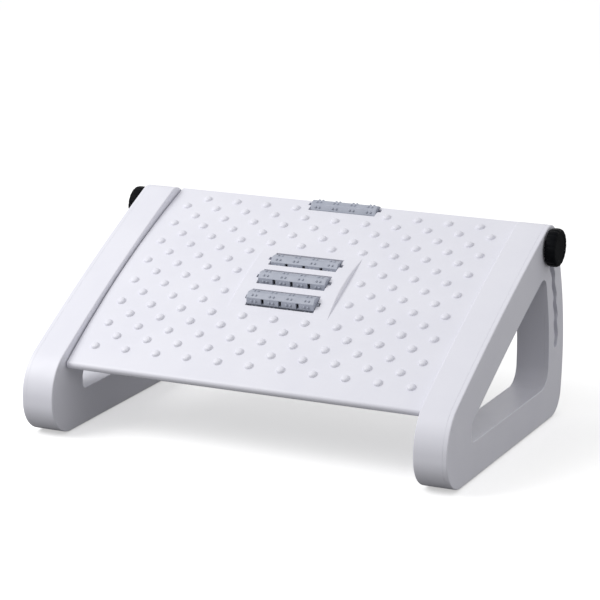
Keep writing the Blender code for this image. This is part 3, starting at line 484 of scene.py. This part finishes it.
def frame_half(name, start, end, face):
    """A slab with its window, softened round both rims of the face that shows."""
    half = slab(name, outer_corners(), start, end)
    open_piece(half)
    round_rim(face, EDGE_ROUND, 4, False)
    close_piece()
    combine(half, slab("window", window_corners(), start - PAST, end + PAST))
    open_piece(half)
    round_rim(face, WINDOW_ROUND, 3, True)
    close_piece()
    return half


def frame_shell():
    """The deep inner half of the right frame."""
    shell = frame_half("frame_shell", INNER_FACE, PARTING, INNER_FACE)
    space = hollow("shell_space", INNER_FACE + WALL, PARTING + PAST)
    combine(space, rod("boss", 0.006, INNER_FACE, INNER_FACE + WALL + 0.014, PIVOT))
    for share in (0.1, 0.26, 0.42, 0.58, 0.74, 0.9):
        rib = block("rib", (-0.02, -RIB_HALF, -0.02), (PARTING - 0.0037, RIB_HALF, 0.02))
        rib.rotation_euler.x = TOP_ANGLE
        rib.location = (0.0, *top_edge(share, RIB_DROP))
        combine(space, settle(rib))
    combine(shell, space)
    combine(shell, slot_tool("slot", INNER_FACE - PAST, PARTING + PAST))
    combine(shell, rod("pin_hole", PIN_BORE, INNER_FACE - PAST, INNER_FACE + 0.0118, PIVOT))
    return shell


def frame_cover():
    """The shallow outer half, with a lip that locates it inside the shell."""
    start = PARTING + SEAM
    cover = frame_half("frame_cover", start, OUTER_FACE, OUTER_FACE)
    combine(cover, hollow("cover_space", start - PAST, OUTER_FACE - WALL))
    outside = WALL + LIP_PLAY
    lip = slab("lip", outer_corners(), PARTING - 0.003, OUTER_FACE - 0.002, inset=outside)
    combine(lip, slab("lip_space", outer_corners(), PARTING - PAST, OUTER_FACE,
                      inset=outside + LIP_WALL))
    combine(cover, lip, "UNION")
    combine(cover, slot_tool("slot", PARTING - PAST, OUTER_FACE + PAST))
    return cover


shell_right = frame_shell()
shell_right.name = "side_frame_shell_right"
shell_left = mirrored(shell_right, "side_frame_shell_left")
cover_right = frame_cover()
cover_right.name = "side_frame_cover_right"
cover_left = mirrored(cover_right, "side_frame_cover_left")
for piece in (shell_right, shell_left, cover_right, cover_left):
    shade(piece)

# %% [markdown]
# ## The foot panel
# The panel is one moulding: a bowed deck 3 mm thick over a grid of ribs, a rolled front edge, a low
# hump with three wells, and a notch in the rear edge. It starts as a flat block in its own frame,
# with the hinge at the origin. The block is sliced wherever a wall, rib or hump edge will come, the
# cells between the ribs are pushed up from below, and whole rows are then lifted to bow it. The
# hump's sides fall to the deck in short steps, and its ends run out to nothing.

# %% Sizes of the panel
STUD_DROP = 0.0045
STUD_PLACE = (0.25246, -STUD_DROP)
PANEL_ANGLE = TOP_ANGLE + math.asin(STUD_DROP / SLOT_RADIUS)
PANEL_FRONT = -0.0070
PANEL_REAR = 0.2762
PANEL_HALF = 0.1935
SKIRT = 0.0185
DECK = 0.003
DECK_MIDDLE = 0.1358
DECK_REACH = 0.1404
DECK_TOP = 0.0127
DECK_BOW = 0.0087
HUMP_MIDDLE = 0.1394
HUMP_REACH = 0.048
HUMP_HALF = 0.0552
HUMP_RISE = 0.004
HUMP_STEP = 0.00004
HUMP_SIDE = ((-0.52, 1.0), (-0.38, 0.95), (-0.23, 0.83), (-0.11, 0.64), (-0.03, 0.38), (0.03, 0.0))
ROLLER_REACH = 0.0378
WELL_REACH = 0.011
ROLLER_PITCH = 0.030
ON_PANEL = Matrix.Translation((0.0, PIVOT.x, PIVOT.y)) @ Matrix.Rotation(PANEL_ANGLE, 4, "X")


def deck_height(along):
    """Height of the bowed deck above the hinge."""
    share = (along - DECK_MIDDLE) / DECK_REACH
    return DECK_TOP - DECK_BOW * share * share


def hump_height(along):
    """Height of the hump over the deck: round on top, and running out softly at its ends."""
    share = (along - HUMP_MIDDLE) / HUMP_REACH
    return HUMP_RISE * max(0.0, 1.0 - share * share) ** 1.118


def side_column(index):
    """Where a step of the hump's side is sliced, before it is moved to its place."""
    return HUMP_HALF + HUMP_STEP * (index + 1)


# Each roller: how far its axle is from the hinge, and how deep it sinks below the surface.
ROLLERS = {"front": (HUMP_MIDDLE - ROLLER_PITCH, 0.0016), "middle": (HUMP_MIDDLE, 0.0033),
           "back": (HUMP_MIDDLE + ROLLER_PITCH, 0.0053), "rear_edge": (PANEL_REAR - 0.0057, 0.0046)}
AXES = {name: (along, deck_height(along) + hump_height(along) - sink)
        for name, (along, sink) in ROLLERS.items()}
RIB_ROWS = (0.0492, 0.0914, 0.1244, 0.1544, 0.1874, 0.2318, 0.2638)

# %% Block, cells and bow
NOSE_REAR = 0.0074
REAR_WALL = 0.2737
RIB = 0.001
NOSE_DEPTH = 0.0084
SLOPE_START = -0.0013
SLOPE_END = 0.01665
REAR_SLOPE = 0.2700
# Across the panel, the cells lie between these places; the outer ones repeat on both sides.
CELLS = ((-ROLLER_REACH, ROLLER_REACH), (0.0428, 0.1159), (0.1179, 0.1910))
panel = block("panel_block", (-PANEL_HALF, PANEL_FRONT, -SKIRT), (PANEL_HALF, PANEL_REAR, 0.0))
open_piece(panel)
rows = [SLOPE_START, NOSE_REAR, SLOPE_END, 0.030, REAR_SLOPE, REAR_WALL, 0.2050, 0.2400]
rows += [place + side * RIB for place in RIB_ROWS for side in (-1, 1)]
rows += [HUMP_MIDDLE + HUMP_REACH * step / 8 for step in range(-8, 9)]
for row in rows:
    slice_at((0.0, row, 0.0), (0.0, 1.0, 0.0))
columns = [place for cell in CELLS for place in cell if place > 0]
columns += [side_column(index) for index in range(len(HUMP_SIDE))]
for column in columns:
    for side in (-1, 1):
        slice_at((side * column, 0.0, 0.0), (1.0, 0.0, 0.0))


def in_cell(place):
    """Whether a spot of the underside lies between the ribs."""
    column = any(inner < abs(place.x) < outer for inner, outer in CELLS)
    on_rib = any(abs(place.y - rib) < RIB for rib in RIB_ROWS)
    return column and NOSE_REAR < place.y < REAR_WALL and not on_rib


pick("FACE", lambda place, face: face.normal.z < -0.5 and in_cell(place))
extrude(z=SKIRT - DECK)
print("the block has its cells")


def skirt_line(along):
    """How far down the underside reaches: it slopes up to the nose and to the rear edge."""
    share = min(1.0, max(0.0, (along - SLOPE_START) / (SLOPE_END - SLOPE_START)))
    return -NOSE_DEPTH - (SKIRT - NOSE_DEPTH) * share + max(0.0, along - REAR_SLOPE)


levels = sorted(set(round(corner.co.y, 6) for corner in bmesh.from_edit_mesh(panel.data).verts))
for level in levels:
    def in_row(place):
        return abs(place.y - level) < SAME_PLACE

    pick("VERT", lambda place, item: in_row(place) and place.z < -SKIRT + 0.0001)
    move(z=skirt_line(level) + SKIRT)
    height = hump_height(level)
    if height > 0:
        pick("VERT", lambda place, item: in_row(place) and abs(place.x) < HUMP_HALF
             and place.z > -0.0001)
        move(z=height)
        for side in (-1, 1):
            for index, (out, share) in enumerate(HUMP_SIDE):
                column = side * side_column(index)
                pick("VERT", lambda place, item: in_row(place) and place.z > -0.0001
                     and abs(place.x - column) < SAME_PLACE)
                move(x=side * out * height, z=share * height)
    pick("VERT", lambda place, item: in_row(place))
    move(z=deck_height(level))
print("the panel is bowed over", len(levels), "rows")

# %% Rolled nose and soft edges
pick("EDGE", lambda place, edge: abs(edge.verts[0].co.x - edge.verts[1].co.x) > SAME_PLACE
     and abs(place.y - PANEL_FRONT) < 0.0001)
bpy.ops.mesh.bevel(offset=0.0036, segments=7, profile=0.5, affect="EDGES")
panel = close_piece()

# %% [markdown]
# ## Wells, seats and bosses
# Each roller lies in a well that goes right through the deck. The deck beside the well has a slot
# with a round foot, open at the top, and the roller's collar turns in it round the axle. Bosses
# under the deck hold the hinge pins and the brass inserts that the clamp studs screw into.

# %% Cut the wells and their axle seats
SEAT_RADIUS = 0.0026
THROAT_HALF = 0.0025
SEAT_REACH = 0.0413
OVER = 0.03

for name, (along, above) in AXES.items():
    end = along + WELL_REACH if name != "rear_edge" else PANEL_REAR + PAST
    combine(panel, block("well", (-ROLLER_REACH, along - WELL_REACH, -OVER),
                         (ROLLER_REACH, end, OVER)))
take(panel)
soften = panel.modifiers.new("soften", "BEVEL")
soften.width = 0.0007
soften.segments = 2
soften.limit_method = "ANGLE"
soften.angle_limit = math.radians(38)
soften.use_clamp_overlap = True
bpy.ops.object.modifier_apply(modifier=soften.name)
for side in (-1, 1):
    wall = side * (PANEL_HALF - 0.001)
    combine(panel, rod("knuckle", 0.0046, wall - side * 0.015, wall, (0.0, 0.0)), "UNION")
    combine(panel, rod("boss", 0.0075, wall - side * 0.018, wall, STUD_PLACE), "UNION")
    outside = side * (PANEL_HALF + 0.004)
    combine(panel, rod("pin_bore", PIN_BORE, side * 0.1827, outside, (0.0, 0.0)))
    combine(panel, rod("insert_bore", 0.0043, side * 0.1809, outside, STUD_PLACE))
for along, above in AXES.values():
    combine(panel, rod("seat", SEAT_RADIUS, -SEAT_REACH, SEAT_REACH, (along, above), 24))
    combine(panel, block("throat", (-SEAT_REACH, along - THROAT_HALF, above),
                         (SEAT_REACH, along + THROAT_HALF, OVER)))
print("the panel has its wells")

# %% [markdown]
# ## Massage domes
# Staggered rows of small domes cover the deck. One dome is modelled: a disc is drawn in and lifted
# ring by ring, steep at its foot and round on top, as a moulded one is. It is then copied to every
# place, leaned to the deck's slope, and all of them are joined to the panel.

# %% One dome, then all of them
DOME_RADIUS = 0.0047
DOME_RINGS = ((0.0045, 0.00005), (0.0043, 0.0009), (0.0039, 0.0017), (0.0032, 0.0023),
              (0.0022, 0.0027), (0.0011, 0.0029))
DOME_ROWS = 16
DOME_FIRST_ROW = 0.0202
DOME_ROW_PITCH = 0.2393 / 15
DOME_PITCH = 0.0345

dome = disc("dome", DOME_RADIUS, 16)
move(z=-0.0001)
raise_rings(DOME_RADIUS, DOME_RINGS)
close_piece()


def dome_places():
    """Every (across, along), in staggered rows that leave the hump and the rear well free."""
    places = []
    for row in range(DOME_ROWS):
        along = DOME_FIRST_ROW + DOME_ROW_PITCH * row
        for column in range(-5, 5 if row % 2 else 6):
            across = DOME_PITCH * (column + (0.5 if row % 2 else 0.0))
            beside = abs(along - HUMP_MIDDLE) > HUMP_REACH or abs(across) > HUMP_HALF + 0.005
            if beside and not (along > 0.259 and abs(across) < 0.0428):
                places.append((across, along))
    return places


domes = []
for across, along in dome_places():
    twin = copy_of(dome, "dome_copy")
    slope = math.atan((deck_height(along + 0.001) - deck_height(along - 0.001)) / 0.002)
    twin.data.transform(Matrix.Translation((across, along, deck_height(along)))
                        @ Matrix.Rotation(slope, 4, "X"))
    domes.append(twin)
print("domes placed:", len(domes))
bpy.data.objects.remove(dome, do_unlink=True)
shade(panel)
domes = join(domes, "domes")
take(domes)
bpy.ops.object.shade_smooth()
panel = join([panel, domes], "foot_panel_moulding")
panel.data.transform(ON_PANEL)

# %% [markdown]
# ## The rollers
# A roller is an octagonal bar in four segments. Between the segments, two opposite facets have a
# notch that opens into the hollow core, and every facet has two small pips on each segment. The
# bar is a cylinder with eight sides: faces are sliced out and pushed in for the notches, a round
# core is cut out, a collar is joined to each end, and one pip is modelled and copied.

# %% One roller
ROLLER_RADIUS = 0.0086
ROLLER_HALF = 0.0372
SEGMENT = ROLLER_HALF / 2
FLAT_RADIUS = ROLLER_RADIUS * math.cos(math.pi / 8)
NOTCH_ANGLE = math.radians(67.5)
NOTCH_HALF = 0.00165
NOTCH_DEPTH = 0.0032
CORE_RADIUS = 0.0054
COLLAR_RADIUS = 0.0023
COLLAR_END = 0.0402
AXLE_BORE = 0.0018
NOTCH_PITCH = SEGMENT + NOTCH_HALF / 2
NOTCHES = [boundary * NOTCH_PITCH for boundary in (-1, 0, 1)]

roller = rod("roller", ROLLER_RADIUS, -ROLLER_HALF, ROLLER_HALF, (0.0, 0.0), 8)
open_piece(roller)
pick("EDGE", lambda place, edge: abs(place.x) < 0.001)
bpy.ops.mesh.bevel(offset=0.0005, segments=2, profile=0.5, affect="EDGES")
pick("FACE", lambda place, face: abs(face.normal.x) > 0.9)
bpy.ops.mesh.bevel(offset=0.0006, segments=2, profile=0.5, affect="EDGES")
for middle in NOTCHES:
    for side in (-1, 1):
        slice_at((middle + side * NOTCH_HALF, 0.0, 0.0), (1.0, 0.0, 0.0))
notch = Vector((0.0, -math.sin(NOTCH_ANGLE), math.cos(NOTCH_ANGLE)))
for side in (-1, 1):
    pick("FACE", lambda place, face: face.normal.dot(notch * side) > 0.99
         and any(abs(place.x - middle) < 0.001 for middle in NOTCHES))
    extrude(*(notch * side * -NOTCH_DEPTH))
roller = close_piece()
core_end = ROLLER_HALF - 0.002
combine(roller, rod("core", CORE_RADIUS, -core_end, core_end, (0.0, 0.0)))
for side in (-1, 1):
    collar_start = side * (ROLLER_HALF - 0.001)
    collar = rod("collar", COLLAR_RADIUS, collar_start, side * COLLAR_END, (0.0, 0.0), 24)
    combine(roller, collar, "UNION")
combine(roller, rod("bore", AXLE_BORE, -ROLLER_HALF - PAST, ROLLER_HALF + PAST, (0.0, 0.0), 24))

# %% Pips for the roller
PIP_RADIUS = 0.0013
PIP_RINGS = ((0.0012, 0.0006), (0.0009, 0.0010), (0.0004, 0.0012))
PIP_ASIDE = 0.0021

pip = disc("pip", PIP_RADIUS, 10)
move(z=-0.0001)
raise_rings(PIP_RADIUS, PIP_RINGS)
close_piece()
pips = []
for facet in range(8):
    turn = Matrix.Rotation(math.radians(22.5 + 45 * facet), 4, "X")
    for segment in range(4):
        for offset in (-PIP_ASIDE, PIP_ASIDE):
            twin = copy_of(pip, "pip_copy")
            across = NOTCH_PITCH * (segment - 1.5) + offset
            twin.data.transform(turn @ Matrix.Translation((across, 0.0, FLAT_RADIUS)))
            pips.append(twin)
bpy.data.objects.remove(pip, do_unlink=True)
shade(roller)
pips = join(pips, "pips")
take(pips)
bpy.ops.object.shade_smooth()
roller = join([roller, pips], "roller_bar")

# %% Four rollers in their wells
REAR_ROLLER_LEAN = math.radians(21.5)

rollers = {}
for name, (along, above) in AXES.items():
    twin = copy_of(roller, "massage_roller_" + name)
    lean = REAR_ROLLER_LEAN if name == "rear_edge" else 0.0
    twin.data.transform(ON_PANEL @ Matrix.Translation((0.0, along, above))
                        @ Matrix.Rotation(lean, 4, "X"))
    rollers[name] = twin
bpy.data.objects.remove(roller, do_unlink=True)
print("rollers:", sorted(rollers))

# %% [markdown]
# ## The clamp knobs
# Each knob is a squat barrel with eighteen flutes for the fingers. A circle with many points is
# drawn, the points in the flutes are scaled inwards, and the outline is extruded up in stages that
# swell and then round off. A socket at the back holds the stud.

# %% One knob
KNOB_RADIUS = 0.0195
KNOB_BACK = 0.2318
FLUTES = 18
SOCKET_DEPTH = 0.0062
# From the back outwards: how far each ring rises, and its share of the radius.
BARREL = ((0.0, 0.955), (0.0005, 0.975), (0.0018, 0.992), (0.0024, 1.0), (0.0024, 0.995),
          (0.0015, 0.978), (0.0009, 0.952), (0.0005, 0.92), (0.0003, 0.88), (0.0002, 0.82))
FACE_GROOVE = ((0.0, 0.70), (0.0, 0.69), (-0.0004, 0.67), (0.0, 0.66))

knob = disc("knob", KNOB_RADIUS, FLUTES * 8)


def in_flute(place, low, high):
    turn = math.atan2(place.y, place.x) / (2 * math.pi) * FLUTES
    return low < turn % 1.0 < high


for low, high, depth in ((0.55, 0.99, 0.986), (0.66, 0.9, 0.988)):
    pick("VERT", lambda place, item: place.length > 0.01 and in_flute(place, low, high))
    widen(depth)
bpy.ops.mesh.select_all(action="SELECT")
widen(BARREL[0][1])
share = BARREL[0][1]
for rise, next_share in BARREL[1:] + FACE_GROOVE:
    extrude(z=rise)
    widen(next_share / share)
    share = next_share
knob = close_piece()
knob.data.transform(Matrix.Translation((KNOB_BACK, 0.0, 0.0))
                    @ Matrix.Rotation(math.pi / 2, 4, "Y"))
combine(knob, rod("socket", 0.0033, KNOB_BACK - PAST, KNOB_BACK + SOCKET_DEPTH, (0.0, 0.0), 24))
knob.data.transform(Matrix.Translation(ON_PANEL @ Vector((0.0, *STUD_PLACE))))
knob.name = "clamp_knob_right"
knob_left = mirrored(knob, "clamp_knob_left")
shade(knob, 40)
shade(knob_left, 40)

# %% [markdown]
# ## The pads
# The frames stand on rubber pads, let into their undersides. Each is a thin block with rounded
# corners, and cross grooves on its underside grip the floor.

# %% One pad, then four
PAD_PLACES = {"front": -0.09515, "rear": 0.09715}
PAD_ACROSS = 0.210
PAD_HALF = Vector((0.010, 0.022))
PAD_HEIGHT = 0.0024
GROOVE_PITCH = 0.004
GROOVE_HALF = 0.0005
GROOVE_DEPTH = 0.0006


def pad_at(name, x, y):
    grooves = [y + row * GROOVE_PITCH for row in range(-4, 5)]
    piece = block(name, (x - PAD_HALF.x, y - PAD_HALF.y, 0.0),
                  (x + PAD_HALF.x, y + PAD_HALF.y, PAD_HEIGHT))
    open_piece(piece)
    pick("EDGE", lambda place, edge: abs(edge.verts[0].co.z - edge.verts[1].co.z) > 0.001)
    bpy.ops.mesh.bevel(offset=0.004, segments=6, profile=0.5, affect="EDGES")
    for groove in grooves:
        for side in (-1, 1):
            slice_at((0.0, groove + side * GROOVE_HALF, 0.0), (0.0, 1.0, 0.0))
    pick("FACE", lambda place, face: face.normal.z < -0.9
         and any(abs(place.y - groove) < GROOVE_HALF for groove in grooves))
    extrude(z=GROOVE_DEPTH)
    return close_piece()


pads = {}
for side, tag in ((-1, "left"), (1, "right")):
    for place, y in PAD_PLACES.items():
        name = f"{place}_{tag}"
        pads[name] = pad_at("floor_pad_" + name, side * PAD_ACROSS, y)
        shade(pads[name])

# %% [markdown]
# ## Finishes
# The white and grey plastics are satin, with the fine grain that a textured mould leaves. The bump
# comes from small noise on the object's own coordinates, and larger noise varies the roughness and
# the tone a little, as handling and flow in the mould do.

# %% Material helpers
def new_finish(name, colour, roughness, metallic=0.0):
    """A material with a principled shader and object coordinates ready to use."""
    material = bpy.data.materials.new(name)
    material.use_nodes = True
    shader = material.node_tree.nodes["Principled BSDF"]
    shader.inputs["Base Color"].default_value = (*colour, 1.0)
    shader.inputs["Roughness"].default_value = roughness
    shader.inputs["Metallic"].default_value = metallic
    place = material.node_tree.nodes.new("ShaderNodeTexCoord")
    place.name = "place"
    return material


def add_noise(material, scale, detail=3.0, stretch=(1.0, 1.0, 1.0)):
    nodes = material.node_tree.nodes
    links = material.node_tree.links
    mapping = nodes.new("ShaderNodeMapping")
    mapping.inputs["Scale"].default_value = stretch
    noise = nodes.new("ShaderNodeTexNoise")
    noise.inputs["Scale"].default_value = scale
    noise.inputs["Detail"].default_value = detail
    links.new(nodes["place"].outputs["Object"], mapping.inputs["Vector"])
    links.new(mapping.outputs["Vector"], noise.inputs["Vector"])
    return noise.outputs["Fac"]


def vary(material, source, socket, low, high):
    """Drive a shader socket between two values by a texture."""
    nodes = material.node_tree.nodes
    links = material.node_tree.links
    spread = nodes.new("ShaderNodeMapRange")
    spread.inputs["From Min"].default_value = 0.3
    spread.inputs["From Max"].default_value = 0.7
    spread.inputs["To Min"].default_value = low
    spread.inputs["To Max"].default_value = high
    links.new(source, spread.inputs["Value"])
    links.new(spread.outputs["Result"], nodes["Principled BSDF"].inputs[socket])


def tint(material, source, low, high):
    """Drive the base colour between two tones by a texture."""
    nodes = material.node_tree.nodes
    links = material.node_tree.links
    ramp = nodes.new("ShaderNodeValToRGB")
    ramp.color_ramp.elements[0].position = 0.3
    ramp.color_ramp.elements[1].position = 0.7
    ramp.color_ramp.elements[0].color = (*low, 1.0)
    ramp.color_ramp.elements[1].color = (*high, 1.0)
    links.new(source, ramp.inputs["Fac"])
    links.new(ramp.outputs["Color"], nodes["Principled BSDF"].inputs["Base Color"])


def emboss(material, source, depth, strength=1.0):
    """Turn a texture into fine relief, depth in metres."""
    nodes = material.node_tree.nodes
    links = material.node_tree.links
    relief = nodes.new("ShaderNodeBump")
    relief.inputs["Distance"].default_value = depth
    relief.inputs["Strength"].default_value = strength
    links.new(source, relief.inputs["Height"])
    links.new(relief.outputs["Normal"], nodes["Principled BSDF"].inputs["Normal"])


# %% The finishes
white = new_finish("satin_white_plastic", (0.79, 0.79, 0.86), 0.42)
tint(white, add_noise(white, 18.0, 4.0), (0.775, 0.775, 0.848), (0.805, 0.805, 0.872))
vary(white, add_noise(white, 60.0, 5.0), "Roughness", 0.38, 0.47)
emboss(white, add_noise(white, 2200.0, 2.0), 0.00002)

grey = new_finish("satin_grey_plastic", (0.39, 0.415, 0.49), 0.45)
tint(grey, add_noise(grey, 120.0, 4.0), (0.37, 0.395, 0.47), (0.41, 0.435, 0.51))
vary(grey, add_noise(grey, 220.0, 4.0), "Roughness", 0.40, 0.50)
emboss(grey, add_noise(grey, 2600.0, 2.0), 0.00002)

black = new_finish("glossy_black_plastic", (0.006, 0.0065, 0.008), 0.3)
black.node_tree.nodes["Principled BSDF"].inputs["Specular IOR Level"].default_value = 0.02
tint(black, add_noise(black, 90.0, 4.0), (0.005, 0.0055, 0.007), (0.008, 0.0085, 0.010))
vary(black, add_noise(black, 300.0, 5.0), "Roughness", 0.24, 0.36)
emboss(black, add_noise(black, 1500.0, 2.0), 0.00001)

steel = new_finish("zinc_plated_steel", (0.58, 0.59, 0.61), 0.3, 1.0)
tint(steel, add_noise(steel, 260.0, 5.0), (0.52, 0.53, 0.55), (0.64, 0.65, 0.66))
vary(steel, add_noise(steel, 500.0, 4.0, (0.1, 1.0, 1.0)), "Roughness", 0.22, 0.4)
emboss(steel, add_noise(steel, 2400.0, 3.0, (0.05, 1.0, 1.0)), 0.00001)

brass = new_finish("turned_brass", (0.72, 0.55, 0.28), 0.35, 1.0)
tint(brass, add_noise(brass, 260.0, 4.0), (0.66, 0.49, 0.24), (0.76, 0.59, 0.32))
vary(brass, add_noise(brass, 700.0, 4.0, (1.0, 0.1, 0.1)), "Roughness", 0.25, 0.42)
emboss(brass, add_noise(brass, 2600.0, 2.0, (1.0, 0.1, 0.1)), 0.00001)

rubber = new_finish("matte_rubber", (0.035, 0.035, 0.038), 0.85)
tint(rubber, add_noise(rubber, 90.0, 4.0), (0.028, 0.028, 0.031), (0.045, 0.045, 0.048))
vary(rubber, add_noise(rubber, 300.0, 3.0), "Roughness", 0.78, 0.92)
emboss(rubber, add_noise(rubber, 1800.0, 3.0), 0.00004)

# %% [markdown]
# ## Putting the pieces on their bodies
# Each new piece rides on the body that its node belongs to, and stands for that node. The small
# metal parts keep their own solids and only get their finish.

# %% Ride, replace and finish
def place_piece(piece, body, nodes, finish):
    piece.data.materials.clear()
    piece.data.materials.append(finish)
    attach(piece, body)
    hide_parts(*nodes)


place_piece(shell_left, "side_frames", ["frame_shell_left"], white)
place_piece(shell_right, "side_frames", ["frame_shell_right"], white)
place_piece(cover_left, "side_frames", ["frame_cover_left"], white)
place_piece(cover_right, "side_frames", ["frame_cover_right"], white)
place_piece(panel, "panel", ["foot_panel"], white)
for name, piece in rollers.items():
    place_piece(piece, f"{name}_roller", [f"roller_{name}"], grey)
place_piece(knob, "right_knob", ["knob_right"], black)
place_piece(knob_left, "left_knob", ["knob_left"], black)
for name, piece in pads.items():
    place_piece(piece, "side_frames", [f"pad_{name}"], rubber)

METAL = {"axle_": steel, "stud_": steel, "washer_": steel, "pivot_pin_": steel,
         "insert_": brass}
for name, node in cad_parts.items():
    for start, finish in METAL.items():
        if name.startswith(start):
            for material_slot in node.material_slots:
                material_slot.material = finish
            print(name, "keeps its solid, in", finish.name)

# %% [markdown]
# ## Floor, background and light
# The photograph is a studio shot on white: even light from all round, a soft key light from the
# upper left in front, a weak low fill from the right, and a pale soft shadow on the floor. The
# floor shows as white to the camera but still takes the object's shadow, and to every other ray it
# is grey, so that the undersides stay dark. The world is white to the camera and to mirrors only,
# and lights the object at a plain level.

# %% Floor and world
bpy.ops.object.select_all(action="DESELECT")
bpy.ops.mesh.primitive_plane_add(size=12.0, location=(0.0, 0.0, -0.0002))
floor = settle(bpy.context.object)
floor.name = "studio_floor"
paper = bpy.data.materials.new("white_paper")
paper.use_nodes = True
nodes = paper.node_tree.nodes
links = paper.node_tree.links
sheet = nodes["Principled BSDF"]
sheet.inputs["Base Color"].default_value = (0.24, 0.24, 0.24, 1.0)
sheet.inputs["Roughness"].default_value = 0.9
sheet.inputs["Specular IOR Level"].default_value = 0.0
shown = nodes.new("ShaderNodeBsdfDiffuse")
shown.inputs["Color"].default_value = (0.86, 0.86, 0.86, 1.0)
glow = nodes.new("ShaderNodeEmission")
glow.inputs["Color"].default_value = (1.0, 1.0, 1.0, 1.0)
glow.inputs["Strength"].default_value = 0.47
seen = nodes.new("ShaderNodeLightPath")
both = nodes.new("ShaderNodeAddShader")
choice = nodes.new("ShaderNodeMixShader")
links.new(shown.outputs["BSDF"], both.inputs[0])
links.new(glow.outputs["Emission"], both.inputs[1])
links.new(seen.outputs["Is Camera Ray"], choice.inputs["Fac"])
links.new(sheet.outputs["BSDF"], choice.inputs[1])
links.new(both.outputs["Shader"], choice.inputs[2])
links.new(choice.outputs["Shader"], nodes["Material Output"].inputs["Surface"])
floor.data.materials.append(paper)

world = bpy.data.worlds.new("studio")
bpy.context.scene.world = world
world.use_nodes = True
nodes = world.node_tree.nodes
links = world.node_tree.links
room = nodes["Background"]
room.inputs["Color"].default_value = (1.0, 1.0, 1.0, 1.0)
room.inputs["Strength"].default_value = 0.585
backdrop = nodes.new("ShaderNodeBackground")
backdrop.inputs["Color"].default_value = (1.0, 1.0, 1.0, 1.0)
backdrop.inputs["Strength"].default_value = 1.0
path = nodes.new("ShaderNodeLightPath")
seen = nodes.new("ShaderNodeMath")
seen.operation = "MAXIMUM"
clear = nodes.new("ShaderNodeMath")
clear.operation = "MAXIMUM"
choice = nodes.new("ShaderNodeMixShader")
links.new(path.outputs["Is Camera Ray"], seen.inputs[0])
links.new(path.outputs["Is Glossy Ray"], seen.inputs[1])
links.new(seen.outputs["Value"], clear.inputs[0])
links.new(path.outputs["Is Transmission Ray"], clear.inputs[1])
links.new(clear.outputs["Value"], choice.inputs["Fac"])
links.new(room.outputs["Background"], choice.inputs[1])
links.new(backdrop.outputs["Background"], choice.inputs[2])
links.new(choice.outputs["Shader"], nodes["World Output"].inputs["Surface"])


# %% Lamps
def softbox(name, place, size, power):
    """A square area lamp that faces the object."""
    bpy.ops.object.light_add(type="AREA", location=place)
    lamp = bpy.context.object
    lamp.name = name
    lamp.data.size = size
    lamp.data.energy = power
    heading = Vector((0.0, 0.0, 0.1)) - Vector(place)
    lamp.rotation_euler = heading.to_track_quat("-Z", "Y").to_euler()


softbox("key_softbox", (-1.15, -0.95, 1.35), 1.2, 22.0)
softbox("fill_softbox", (2.1, 0.0, 0.1), 1.0, 6.5)
bpy.context.scene.view_settings.view_transform = "Standard"
